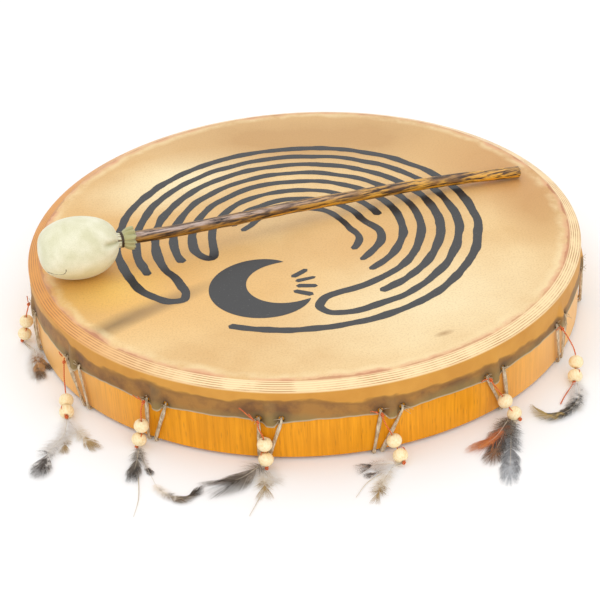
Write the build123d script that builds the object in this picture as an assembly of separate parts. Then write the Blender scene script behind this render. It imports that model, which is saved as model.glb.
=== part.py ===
from build123d import *
import math
import os

os.makedirs("parts", exist_ok=True)

# Hand-made frame drum with a padded beater and feather charms.
# Millimetres, +Z up. The origin is on the surface that the drum stands on, under the
# centre of the hoop. Azimuths are in degrees from +X towards +Y.

# ---- driving dimensions ----------------------------------------------------------------
HOOP_RADIUS = 228.6            # outside of the wood, an 18 inch hoop
PLY_COUNT = 5
PLY_THICKNESS = 1.8
LACE_WIDTH = 3.2
LACE_THICKNESS = 2.6
HOOP_DEPTH = 62.6              # with the skin, a 2.5 inch drum
BEVEL_DROP = 4.6               # the bearing edge slopes down to the outside
SKIN_THICKNESS = 0.9
SKIRT_BOTTOM = 34.0            # height of the skin's lower edge on the wall

STATIONS = 16                  # pairs of lacing holes round the hoop
FIRST_STATION = -7.9           # azimuth of station 0, the others follow clockwise
HOLE_HALF_ANGLE = 2.1          # each hole lies this far from its station's middle
HOLE_RADIUS = 2.2
HOLE_HEIGHT = 38.6
TUCK_WIDTH = 4.8               # fold of spare skin between the two holes
TUCK_DEPTH = 3.9
TUCK_BOTTOM = 31.5
TUCK_TOP = 57.0
PAIR_HALF_ANGLE = 0.8          # the two strands of a pair under the rim
RIM_PAD_INNER = 213.0          # a strand runs level from here out to the wall
FOOT_GAP = 0.8                 # room for the lean of a wall strand over its level run

RING_RADIUS = 38.0             # centre line of the hand ring
RING_WIRE = 2.0
RING_HEIGHT = 5.2
WRAP_THICKNESS = 1.3
HITCH_THICKNESS = 1.6
HITCH_WIDTH = 4.4

BEAD_RADIUS = 5.8
BEAD_BORE = 1.6
THREAD_DIAMETER = 1.0
FEATHER_THICKNESS = 0.5

CLEARANCE = 0.1                # gap left between pieces that only just touch

HOOP_BOTTOM = LACE_THICKNESS
HOOP_INNER = HOOP_RADIUS - PLY_COUNT * PLY_THICKNESS
RIDGE_HEIGHT = HOOP_BOTTOM + HOOP_DEPTH
HEAD_TOP = RIDGE_HEIGHT + SKIN_THICKNESS
SKIRT_RADIUS = HOOP_RADIUS + SKIN_THICKNESS
STATION_STEP = 360.0 / STATIONS

# How far each pair of strands leans along the rim on its way down, in degrees. The
# lacing was pulled tight by hand, so no two pairs lean alike.
LEAN = [0.8, 0.0, 2.6, -2.8, -1.5, -1.7, 3.0, 0.5, -1.2, 1.9, -0.6, 2.2, -2.4, 0.4, 1.5, -1.0]


def save(shape, name):
    """Write one node's solids to its own file."""
    shape.label = name
    export_step(shape, os.path.join("parts", name + ".step"))


def group(solids):
    return Compound(children=solids)


def polar(azimuth, radius, height):
    angle = math.radians(azimuth)
    return Vector(radius * math.cos(angle), radius * math.sin(angle), height)


def outward(azimuth):
    return polar(azimuth, 1.0, 0.0)


def station_azimuth(station):
    return FIRST_STATION - STATION_STEP * station


def ring_of_profile(points):
    """A closed (radius, height) outline turned about the drum's axis."""
    outline = Plane.XZ * Polyline(*points, close=True)
    return revolve(make_face(outline), axis=Axis.Z)


def bar(start, end, width, thickness, facing):
    """A straight strap from start to end, its broad face turned towards facing."""
    run = end - start
    normal = facing - run * (facing.dot(run) / run.dot(run))
    return Plane(origin=start + run / 2, x_dir=run, z_dir=normal) * Box(run.length, width, thickness)


# ---- hoop: five bent plies, each bevelled at the top to make the bearing edge ------------
def bevel_height(radius):
    return RIDGE_HEIGHT - BEVEL_DROP * (radius - HOOP_INNER) / (HOOP_RADIUS - HOOP_INNER)


def hoop_ply(number):
    inner = HOOP_INNER + (number - 1) * PLY_THICKNESS
    outer = inner + PLY_THICKNESS
    return ring_of_profile([
        (inner, HOOP_BOTTOM),
        (outer, HOOP_BOTTOM),
        (outer, bevel_height(outer)),
        (inner, bevel_height(inner)),
    ])


for number in range(1, PLY_COUNT + 1):
    save(hoop_ply(number), f"hoop_ply_{number}")


# ---- rawhide: the head, and the skirt that is drawn over the bevel and down the wall -----
def lacing_hole(azimuth):
    plane = Plane(origin=polar(azimuth, SKIRT_RADIUS, HOLE_HEIGHT), z_dir=outward(azimuth))
    return plane * Cylinder(HOLE_RADIUS, 6 * SKIN_THICKNESS)


def hole_azimuths():
    for station in range(STATIONS):
        for side in (-1, 1):
            yield station_azimuth(station) + side * HOLE_HALF_ANGLE


def rawhide_skirt():
    shell = ring_of_profile([
        (HOOP_INNER, RIDGE_HEIGHT),
        (HOOP_RADIUS, bevel_height(HOOP_RADIUS)),
        (HOOP_RADIUS, SKIRT_BOTTOM),
        (SKIRT_RADIUS, SKIRT_BOTTOM),
        (SKIRT_RADIUS, bevel_height(HOOP_RADIUS) + SKIN_THICKNESS / 2),
        (HOOP_INNER, HEAD_TOP),
    ])
    return shell - [lacing_hole(azimuth) for azimuth in hole_azimuths()]


def tuck(azimuth):
    """A fold of skin: a wedge that stands off the skirt and hangs below its edge."""
    inner = SKIRT_RADIUS + CLEARANCE / 2
    outline = Polyline(
        (inner, TUCK_BOTTOM),
        (inner + TUCK_DEPTH, TUCK_BOTTOM),
        (inner + TUCK_DEPTH, HOLE_HEIGHT),
        (inner + 0.4, TUCK_TOP),
        (inner, TUCK_TOP),
        close=True,
    )
    wedge = extrude(make_face(Plane.XZ * outline), amount=TUCK_WIDTH / 2, both=True)
    return Rot(0, 0, azimuth) * wedge


save(Pos(0, 0, RIDGE_HEIGHT + SKIN_THICKNESS / 2) * Cylinder(HOOP_INNER, SKIN_THICKNESS), "rawhide_head")
save(rawhide_skirt(), "rawhide_skirt")
save(group([tuck(station_azimuth(station)) for station in range(STATIONS)]), "skirt_tucks")


# ---- rawhide lace: out of each hole, down the wall, under the rim and in to the ring -----
def strand_ends(station, side):
    """Azimuths of one strand at its hole, under the rim and at the hand ring."""
    middle = station_azimuth(station)
    at_hole = middle + side * HOLE_HALF_ANGLE
    at_rim = middle + LEAN[station] + side * PAIR_HALF_ANGLE
    at_ring = middle + side * STATION_STEP / 4
    return at_hole, at_rim, at_ring


def wall_strand(station, side):
    at_hole, at_rim, _ = strand_ends(station, side)
    radius = SKIRT_RADIUS + 2 * CLEARANCE + LACE_THICKNESS / 2
    top = polar(at_hole, radius, HOLE_HEIGHT + 1.0)
    foot = polar(at_rim, radius, LACE_THICKNESS + FOOT_GAP)
    return bar(top, foot, LACE_WIDTH, LACE_THICKNESS, outward((at_hole + at_rim) / 2))


def back_line(station, side):
    """The strand's line seen from below: its point under the rim and at the ring."""
    _, at_rim, at_ring = strand_ends(station, side)
    outer = polar(at_rim, SKIRT_RADIUS + CLEARANCE + LACE_THICKNESS, LACE_THICKNESS / 2)
    hitch_radius = RING_WIRE + WRAP_THICKNESS + HITCH_THICKNESS
    inner = polar(at_ring, RING_RADIUS + hitch_radius + 4 * CLEARANCE, RING_HEIGHT)
    return outer, inner


def rim_pad(station, side):
    outer, inner = back_line(station, side)
    level = Vector(inner.X - outer.X, inner.Y - outer.Y, 0).normalized()
    end = outer + level * (outer.length - RIM_PAD_INNER)
    return bar(outer, end, LACE_WIDTH, LACE_THICKNESS, Vector(0, 0, 1))


def back_strand(station, side):
    outer, inner = back_line(station, side)
    level = Vector(inner.X - outer.X, inner.Y - outer.Y, 0).normalized()
    start = outer + level * (outer.length - RIM_PAD_INNER + 2 * CLEARANCE)
    return bar(start, inner, LACE_WIDTH, LACE_THICKNESS, Vector(0, 0, 1))


def every_strand(piece):
    return group([piece(station, side) for station in range(STATIONS) for side in (-1, 1)])


save(every_strand(wall_strand), "wall_lacing")
save(every_strand(rim_pad), "rim_lacing")
save(every_strand(back_strand), "back_lacing")


# ---- hand ring at the back: a wire ring, its rawhide wrap and a hitch for each strand ----
def ring_tube(inner_radius, outer_radius, arc=360.0):
    centre = Plane.XZ * Pos(RING_RADIUS, RING_HEIGHT)
    section = centre * Circle(outer_radius)
    if inner_radius > 0:
        section -= centre * Circle(inner_radius)
    return revolve(section, axis=Axis.Z, revolution_arc=arc)


def ring_hitch(station, side):
    _, _, at_ring = strand_ends(station, side)
    wrapped = RING_WIRE + WRAP_THICKNESS
    arc = math.degrees(HITCH_WIDTH / RING_RADIUS)
    return Rot(0, 0, at_ring - arc / 2) * ring_tube(wrapped, wrapped + HITCH_THICKNESS, arc)


save(ring_tube(0, RING_WIRE), "hand_ring")
save(ring_tube(RING_WIRE, RING_WIRE + WRAP_THICKNESS), "ring_wrap")
save(every_strand(ring_hitch), "ring_hitches")


# ---- charms: waxed thread from a lacing hole, two wooden beads and two feathers ----------
# Each thread's route is (azimuth, radius, height), from the hole to the knot below the
# beads. The last run carries the lower bead and the run before it the upper bead.
THREAD_ROUTES = {
    1: [(-167.5, 233.2, 39.0), (-168.6, 234.2, 32.0), (-168.8, 236.8, 24.4), (-169.1, 237.6, 12.4),
        (-168.5, 243.0, 1.1)],
    2: [(-145.0, 233.2, 39.0), (-144.6, 236.6, 25.0), (-143.7, 238.8, 11.2), (-141.2, 245.3, 6.6),
        (-138.9, 252.5, 5.4)],
    3: [(-122.5, 233.2, 39.0), (-123.3, 234.8, 32.0), (-122.7, 238.2, 24.4), (-123.0, 238.5, 12.4),
        (-123.4, 244.0, 1.1)],
    4: [(-100.0, 233.2, 39.0), (-100.1, 234.6, 33.5), (-98.9, 237.2, 26.5), (-98.8, 237.6, 14.5),
        (-98.5, 243.8, 3.7)],
    5: [(-77.5, 233.2, 39.0), (-77.2, 234.0, 30.0), (-76.0, 236.2, 21.5), (-75.4, 240.6, 9.6),
        (-75.0, 251.4, 3.5)],
    6: [(-55.0, 233.2, 39.0), (-53.9, 234.2, 30.0), (-52.6, 236.2, 21.0), (-51.8, 240.6, 9.4),
        (-51.6, 251.9, 4.0)],
    7: [(-32.5, 233.2, 39.0), (-32.0, 240.0, 28.5), (-32.2, 246.9, 17.0), (-34.3, 251.3, 8.4),
        (-36.7, 255.1, 3.1)],
}

# Where each charm's two feathers end on the surface, as (x, y), and how wide they are.
FEATHERS = {
    1: [((-222.0, -115.0), 13.0), ((-238.0, -92.0), 11.0)],
    2: [((-208.0, -233.0), 18.0), ((-168.0, -193.0), 12.0)],
    3: [((-132.0, -286.0), 15.0), ((-90.0, -251.0), 11.0)],
    4: [((-74.0, -258.0), 15.0), ((-44.0, -290.0), 14.0)],
    5: [((30.0, -249.0), 13.0), ((42.0, -283.0), 16.0)],
    6: [((108.0, -236.0), 16.0), ((138.0, -276.0), 20.0)],
    7: [((168.0, -181.0), 12.0), ((182.0, -204.0), 16.0)],
}
FEATHER_ROOT_HEIGHTS = (3.6, 1.5)
FEATHER_TIP_HEIGHTS = (2.4, 0.8)
QUILL_GAP = 5.0                # the vane starts this far beyond the knot


def corner_radii(points):
    """Each arc is as large as the two runs beside it allow."""
    radii = []
    for before, corner, after in zip(points, points[1:], points[2:]):
        turn = math.radians((corner - before).get_angle(after - corner))
        shorter = min((corner - before).length, (after - corner).length)
        radii.append(0.45 * shorter / math.tan(turn / 2))
    return radii


def thread_tube(points):
    path = FilletPolyline(*points, radius=corner_radii(points))
    return sweep(Plane(origin=path @ 0, z_dir=path % 0) * Circle(THREAD_DIAMETER / 2), path=path)


def bead_pair(before, between, after):
    """Two bored balls that touch at the thread's corner between them, one on each run."""
    turn = math.radians((between - before).get_angle(after - between))
    reach = (BEAD_RADIUS + CLEARANCE) / math.cos(turn / 2)
    pair = []
    for end, side in ((before, 1), (after, -1)):
        away = (end - between).normalized()
        plane = Plane(origin=between + away * reach, z_dir=away * side)
        pair.append(plane * (Sphere(BEAD_RADIUS) - Cylinder(BEAD_BORE, 3 * BEAD_RADIUS)))
    return pair


def feather(knot, tip, width, layer):
    """A leaf-shaped blade from just beyond the knot to the tip, almost flat."""
    away = Vector(tip[0] - knot.X, tip[1] - knot.Y, 0).normalized()
    root = Vector(knot.X, knot.Y, FEATHER_ROOT_HEIGHTS[layer]) + away * QUILL_GAP
    run = Vector(tip[0], tip[1], FEATHER_TIP_HEIGHTS[layer]) - root
    half = run.length / 2
    edge = ThreePointArc((0, 0), (half, width / 2), (run.length, 0))
    other_edge = ThreePointArc((run.length, 0), (half, -width / 2), (0, 0))
    blade = extrude(make_face(edge + other_edge), amount=FEATHER_THICKNESS / 2, both=True)
    side = Vector(0, 0, 1).cross(run)
    return Plane(origin=root, x_dir=run, z_dir=run.cross(side)) * blade


for number, route in THREAD_ROUTES.items():
    points = [polar(*point) for point in route]
    tube = thread_tube(points)
    upper_bead, lower_bead = bead_pair(*points[-3:])
    save(tube, f"charm_{number}_thread")
    save(upper_bead, f"charm_{number}_upper_bead")
    save(lower_bead, f"charm_{number}_lower_bead")
    for layer, (tip, width) in enumerate(FEATHERS[number]):
        save(feather(points[-1], tip, width, layer), f"charm_{number}_feather_{'ab'[layer]}")
    radii = ", ".join(f"{radius:.1f}" for radius in corner_radii(points))
    section = math.pi * THREAD_DIAMETER ** 2 / 4
    print(f"thread {number}: length {tube.volume / section:.1f} mm, corner radii {radii} mm")


# ---- beater: a bent stick, a stuffed ball, and a suede cover gathered and tied at the neck
STICK_RADIUS = 5.1
# The stick's bends, from the middle of the ball to the cut end that rests on the head.
STICK_ROUTE = [(-181.0, -55.0, 92.8), (-98.0, -25.4, 86.0), (0.0, 16.5, 79.8), (122.0, 57.0, 74.2),
               (190.0, 70.5, 71.7)]
BALL_LENGTH = 33.0             # half the ball's length along the stick
BALL_RADIUS = 26.5
COVER_THICKNESS = 1.2
NECK_RADIUS = 6.5
NECK_END = 38.2                # measured from the ball's middle along the stick
FRILL_END = 46.5
FRILL_RADIUS = 8.6
STICK_START = -10.0
TIE_START = 35.2
TIE_TURNS = 2
TIE_RADIUS = 0.5


def ball_arc(length, radius, neck_radius):
    """Half an ellipse, cut off where it has come down to the neck's radius."""
    neck_angle = math.degrees(math.asin(neck_radius / radius))
    return EllipticalCenterArc((0, 0), length, radius, start_angle=neck_angle, arc_size=180 - neck_angle)


def beater_cover():
    neck_inner = NECK_RADIUS - COVER_THICKNESS
    outside = ball_arc(BALL_LENGTH, BALL_RADIUS, NECK_RADIUS)
    inside = ball_arc(BALL_LENGTH - COVER_THICKNESS, BALL_RADIUS - COVER_THICKNESS, neck_inner)
    neck = Polyline(
        outside @ 0,
        (NECK_END, NECK_RADIUS),
        (FRILL_END, FRILL_RADIUS),
        (FRILL_END, FRILL_RADIUS - COVER_THICKNESS),
        (NECK_END, neck_inner),
        inside @ 0,
    )
    pole = Line(outside @ 1, inside @ 1)
    return revolve(make_face(outside + neck + inside + pole), axis=Axis.X)


def beater_padding():
    inset = COVER_THICKNESS + CLEARANCE
    outside = ball_arc(BALL_LENGTH - inset, BALL_RADIUS - inset, STICK_RADIUS + CLEARANCE)
    bore = Polyline(
        outside @ 0,
        (STICK_START - CLEARANCE, STICK_RADIUS + CLEARANCE),
        (STICK_START - CLEARANCE, 0),
        outside @ 1,
    )
    return revolve(make_face(outside + bore), axis=Axis.X)


def beater_tie():
    winding = NECK_RADIUS + TIE_RADIUS + CLEARANCE / 2
    turns = []
    for turn in range(TIE_TURNS):
        along = TIE_START + (2 * TIE_RADIUS + CLEARANCE / 2) * turn
        section = Pos(along, winding) * Circle(TIE_RADIUS)
        turns.append(revolve(section, axis=Axis.X))
    return group(turns)


def beater_stick(points, start):
    path = FilletPolyline(start, *points[1:], radius=corner_radii([start] + points[1:]))
    return sweep(Plane(origin=path @ 0, z_dir=path % 0) * Circle(STICK_RADIUS), path=path)


stick_points = [Vector(*point) for point in STICK_ROUTE]
stick_along = (stick_points[1] - stick_points[0]).normalized()
up = Vector(0, 0, 1) - stick_along * stick_along.Z
beater_place = Plane(origin=stick_points[0], x_dir=stick_along, z_dir=up)

save(beater_stick(stick_points, stick_points[0] + stick_along * STICK_START), "beater_stick")
save(beater_place * beater_padding(), "beater_padding")
save(beater_place * beater_cover(), "beater_cover")
save(beater_place * beater_tie(), "beater_tie")
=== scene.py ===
import math
import random

import bmesh
import bpy
from mathutils import Matrix, Vector, noise
from mathutils.bvhtree import BVHTree


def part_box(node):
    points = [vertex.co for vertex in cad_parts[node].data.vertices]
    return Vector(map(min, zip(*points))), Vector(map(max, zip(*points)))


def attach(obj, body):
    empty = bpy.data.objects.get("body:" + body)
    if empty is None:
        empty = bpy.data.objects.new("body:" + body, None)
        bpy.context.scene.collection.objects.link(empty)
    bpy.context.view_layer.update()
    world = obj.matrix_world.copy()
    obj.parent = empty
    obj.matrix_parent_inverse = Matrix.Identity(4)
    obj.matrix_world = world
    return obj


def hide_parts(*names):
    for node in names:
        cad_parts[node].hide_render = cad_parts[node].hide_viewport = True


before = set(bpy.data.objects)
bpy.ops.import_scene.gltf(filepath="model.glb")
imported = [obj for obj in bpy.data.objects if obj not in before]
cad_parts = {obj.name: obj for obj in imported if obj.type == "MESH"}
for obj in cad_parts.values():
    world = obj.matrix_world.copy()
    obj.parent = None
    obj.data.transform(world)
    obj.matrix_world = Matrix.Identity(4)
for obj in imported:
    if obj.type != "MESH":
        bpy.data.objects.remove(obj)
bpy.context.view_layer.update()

scene = bpy.context.scene

# ---- Camera, floor and light
# The drum lies face up on white paper inside a light tent, so light comes from all round, with
# one large soft lamp above and behind that puts a sheen on the skin.
CAMERA_DISTANCE = 1.48007
CAMERA_RISE = math.radians(32.008)
CAMERA_ROLL = math.radians(-3.136)
CAMERA_LIFT = 0.0026
LENS = 103.92
SENSOR_WIDTH = 36.0
AIM = Vector((-0.0059, -0.0027, -0.0018))
TENT_LIGHT = 0.92
FLOOR_SIZE = 8.0


def linear(code):
    """A colour written as sRGB hex, as the linear values that shaders take."""
    channels = [int(code[i:i + 2], 16) / 255 for i in (1, 3, 5)]
    return [c / 12.92 if c <= 0.04045 else ((c + 0.055) / 1.055) ** 2.4 for c in channels] + [1.0]


def add_node(tree, kind, inputs=None, **settings):
    """One shader node with its settings, its sockets filled with values or linked to other sockets."""
    added = tree.nodes.new("ShaderNode" + kind)
    for setting, value in settings.items():
        setattr(added, setting, value)
    for socket, value in (inputs or {}).items():
        if isinstance(value, bpy.types.NodeSocket):
            tree.links.new(value, added.inputs[socket])
        else:
            added.inputs[socket].default_value = value
    return added


def finish_of(name, **shader_values):
    """A new material, its node tree and its shader, with uniform values on the shader's own sockets."""
    material = bpy.data.materials.new(name)
    material.use_nodes = True
    shader = material.node_tree.nodes["Principled BSDF"]
    for socket, value in shader_values.items():
        shader.inputs[socket.replace("_", " ")].default_value = value
    return material, material.node_tree, shader


scene.view_settings.view_transform = "Standard"
away = Vector((0, -math.cos(CAMERA_RISE), math.sin(CAMERA_RISE))) * CAMERA_DISTANCE
camera_place = away + Vector((0, 0, CAMERA_LIFT))
back = (camera_place - AIM).normalized()
right = Vector((0, 0, 1)).cross(back).normalized()
turn = Matrix((right, back.cross(right), back)).transposed().to_4x4()
camera = bpy.data.objects.new("camera", bpy.data.cameras.new("camera"))
camera.data.lens = LENS
camera.data.sensor_width = SENSOR_WIDTH
camera.matrix_world = Matrix.Translation(camera_place) @ turn @ Matrix.Rotation(CAMERA_ROLL, 4, "Z")
scene.collection.objects.link(camera)
scene.camera = camera

# White backdrop paper: matt, clean, only just uneven.
paper, tree, shader = finish_of("white paper", Roughness=0.9)
place = add_node(tree, "TexCoord").outputs["Object"]
blotches = add_node(tree, "TexNoise", {"Vector": place, "Scale": 3.0})
tone = add_node(tree, "Mix", {0: blotches.outputs["Fac"], 6: linear("#FDFDFD"), 7: linear("#FAFAFA")},
                data_type="RGBA")
tree.links.new(tone.outputs[2], shader.inputs["Base Color"])
floor_shape = bmesh.new()
bmesh.ops.create_grid(floor_shape, x_segments=2, y_segments=2, size=FLOOR_SIZE / 2)
floor_mesh = bpy.data.meshes.new("floor")
floor_shape.to_mesh(floor_mesh)
floor_shape.free()
floor_mesh.materials.append(paper)
floor = bpy.data.objects.new("floor", floor_mesh)
scene.collection.objects.link(floor)

tent = bpy.data.worlds.new("light tent")
tent.use_nodes = True
tent.node_tree.nodes["Background"].inputs["Color"].default_value = linear("#FFFFFF")
tent.node_tree.nodes["Background"].inputs["Strength"].default_value = TENT_LIGHT
scene.world = tent
# Each lamp: its name, its place and side in metres, and its power in watts.
for name, spot, size, watts in (("overhead softbox", (-0.35, 0.95, 1.9), 2.4, 11.0),
                                ("front reflector", (0.3, -1.8, 0.9), 1.6, 9.0)):
    lamp = bpy.data.lights.new(name, "AREA")
    lamp.shape = "SQUARE"
    lamp.size = size
    lamp.energy = watts
    light = bpy.data.objects.new(name, lamp)
    light.matrix_world = Matrix.Translation(spot) @ Vector(spot).to_track_quat("Z", "Y").to_matrix().to_4x4()
    scene.collection.objects.link(light)

# ---- Charm threads
# Each charm hangs on a short doubled end of waxed orange thread. It is knotted through a lacing
# hole, runs down the hoop through two beads, and ends in a knot on the feathers' quills.
MM = 0.001
THREAD_DIAMETER = 1.0 * MM
# Each thread from its lacing hole to its feathers, as azimuths in degrees, radii and heights in
# millimetres, and its length along that route in millimetres.
THREAD_ROUTES = {
    1: [(-167.5, 233.2, 39.0), (-168.6, 234.2, 32.0), (-168.8, 236.8, 24.4), (-169.1, 237.6, 12.4),
        (-168.5, 243.0, 1.1)],
    2: [(-145.0, 233.2, 39.0), (-144.6, 236.6, 25.0), (-143.7, 238.8, 11.2), (-141.2, 245.3, 6.6),
        (-138.9, 252.5, 5.4)],
    3: [(-122.5, 233.2, 39.0), (-123.3, 234.8, 32.0), (-122.7, 238.2, 24.4), (-123.0, 238.5, 12.4),
        (-123.4, 244.0, 1.1)],
    4: [(-100.0, 233.2, 39.0), (-100.1, 234.6, 33.5), (-98.9, 237.2, 26.5), (-98.8, 237.6, 14.5),
        (-98.5, 243.8, 3.7)],
    5: [(-77.5, 233.2, 39.0), (-77.2, 234.0, 30.0), (-76.0, 236.2, 21.5), (-75.4, 240.6, 9.6),
        (-75.0, 251.4, 3.5)],
    6: [(-55.0, 233.2, 39.0), (-53.9, 234.2, 30.0), (-52.6, 236.2, 21.0), (-51.8, 240.6, 9.4),
        (-51.6, 251.9, 4.0)],
    7: [(-32.5, 233.2, 39.0), (-32.0, 240.0, 28.5), (-32.2, 246.9, 17.0), (-34.3, 251.3, 8.4),
        (-36.7, 255.1, 3.1)],
}


def at(azimuth, radius, height):
    """A point given by its azimuth in degrees, and its radius and height in millimetres."""
    turned = math.radians(azimuth)
    return Vector((math.cos(turned) * radius, math.sin(turned) * radius, height)) * MM


def section(place, along, across, half_width, half_thickness):
    """The matrix that sets a unit circle at a place, square to a direction, as a flattened cross-section."""
    along = along.normalized()
    across = (across - along * across.dot(along)).normalized()
    frame_there = Matrix((across, along.cross(across), along)).transposed().to_4x4()
    return Matrix.Translation(place) @ frame_there @ Matrix.Diagonal((half_width, half_thickness, 1, 1))


def drawn_out(sections, sides=8):
    """A solid with closed ends, drawn through a row of cross-sections."""
    bm = bmesh.new()
    bmesh.ops.create_circle(bm, cap_ends=True, segments=sides, radius=1.0, matrix=sections[0])
    rim = bm.edges[:]
    for before, after in zip(sections, sections[1:]):
        grown = bmesh.ops.extrude_edge_only(bm, edges=rim)["geom"]
        moved = {piece for piece in grown if isinstance(piece, bmesh.types.BMVert)}
        rim = [piece for piece in grown if isinstance(piece, bmesh.types.BMEdge)
               and set(piece.verts) <= moved]
        bmesh.ops.transform(bm, matrix=after @ before.inverted(), verts=list(moved))
    bmesh.ops.edgeloop_fill(bm, edges=rim)
    bmesh.ops.recalc_face_normals(bm, faces=bm.faces)
    return bm


def join_in(whole, part):
    """Puts one bmesh into another and frees it."""
    carried = bpy.data.meshes.new("carried")
    part.to_mesh(carried)
    part.free()
    whole.from_mesh(carried)
    bpy.data.meshes.remove(carried)


def make_piece(bm, name, body, materials, stands_for=()):
    """The bmesh as a smooth piece that rides on its body and stands for the CAD nodes named."""
    mesh = bpy.data.meshes.new(name)
    bm.to_mesh(mesh)
    bm.free()
    for material in materials:
        mesh.materials.append(material)
    mesh.polygons.foreach_set("use_smooth", [True] * len(mesh.polygons))
    piece = bpy.data.objects.new(name, mesh)
    scene.collection.objects.link(piece)
    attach(piece, body)
    if stands_for:
        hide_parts(*stands_for)
    return piece


# Waxed linen thread: deep orange, with a slight wax gleam and the spiral of its twist.
waxed_thread, tree, shader = finish_of("waxed linen thread", Roughness=0.5)
place = add_node(tree, "TexCoord").outputs["Object"]
# The lay of the twist is about 1 mm long.
lay = add_node(tree, "TexWave", {"Vector": place, "Scale": 320.0, "Distortion": 2.0},
               bands_direction="DIAGONAL")
tone = add_node(tree, "Mix", {0: lay.outputs["Fac"], 6: linear("#C04A16"), 7: linear("#EE7E3C")},
                data_type="RGBA")
tree.links.new(tone.outputs[2], shader.inputs["Base Color"])
raised = add_node(tree, "Bump", {"Height": lay.outputs["Fac"], "Strength": 0.6, "Distance": 0.0003})
tree.links.new(raised.outputs["Normal"], shader.inputs["Normal"])

threads = {}
for number, route in THREAD_ROUTES.items():
    line = bpy.data.curves.new(f"thread_{number}", "CURVE")
    line.dimensions = "3D"
    line.bevel_depth = THREAD_DIAMETER / 2
    line.bevel_resolution = 3
    line.resolution_u = 24
    line.use_fill_caps = True
    spline = line.splines.new("NURBS")
    spline.points.add(len(route) - 1)
    for control, point in zip(spline.points, route):
        control.co = (*at(*point), 1.0)
    spline.order_u = 3
    spline.use_endpoint_u = True
    line.materials.append(waxed_thread)
    threads[number] = bpy.data.objects.new(f"thread_{number}", line)
    scene.collection.objects.link(threads[number])
    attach(threads[number], f"charm_{number}")
    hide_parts(f"charm_{number}_thread")

# ---- Thread knots
# The thread is tied off twice: round the lacing just under the hole, with a cut end that sticks
# up to the left, and in a lump under the lower bead that grips the quills.
KNOT_RADIUS = 1.5 * MM
KNOT_TURNS = 3
KNOT_STEPS = 12
KNOT_ON_FLOOR = 1.6 * MM
# Millimetres to the left of the lacing hole, and outside it, where a cut end starts.
CUT_END_ASIDE = 2.5
CUT_END_OUTSIDE = 0.3
CUT_END_STEPS = 8
SECOND_STRAND_BOW = 6.0
SECOND_STRAND_STEPS = 10
# For each charm, the length of its longer cut end in millimetres, and how steeply it stands up.
TAILS = {1: (6.0, 0.4), 2: (5.0, 0.3), 3: (8.0, 0.1), 4: (15.0, 0.95), 5: (7.0, 0.5), 6: (6.0, 0.2),
         7: (5.0, 0.2)}
# Charm 7's thread was never trimmed: the way its spare end lies on the paper, in millimetres.
SPARE_END = [(204.4, -152.0, 3.4), (202.0, -155.5, 1.6), (195.7, -164.7, 0.9), (190.6, -176.0, 0.9)]


def eased(points, step, rounds):
    """A route as even steps along its runs, with its corners drawn smooth."""
    route = []
    for before, after in zip(points, points[1:]):
        steps = max(1, round((after - before).length / step))
        route += [before.lerp(after, part / steps) for part in range(steps)]
    route.append(points[-1])
    for _ in range(rounds):
        route[1:-1] = [(before + here * 2 + after) / 4
                       for before, here, after in zip(route, route[1:], route[2:])]
    return route


def knot(middle, along, seed):
    """A lump of crossed turns of thread."""
    lump = bmesh.new()
    shake = random.Random(seed)
    for _ in range(KNOT_TURNS):
        axis = (along + Vector([shake.uniform(-0.7, 0.7) for _ in "xyz"])).normalized()
        across = axis.orthogonal().normalized()
        loop = []
        for step in range(KNOT_STEPS + 1):
            spin = math.tau * step / KNOT_STEPS
            spoke = Matrix.Rotation(spin, 3, axis) @ across
            loop.append(section(middle + spoke * KNOT_RADIUS * 0.75, axis.cross(spoke), spoke,
                                THREAD_DIAMETER * 0.48, THREAD_DIAMETER * 0.48))
        join_in(lump, drawn_out(loop, sides=6))
    return lump


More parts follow.
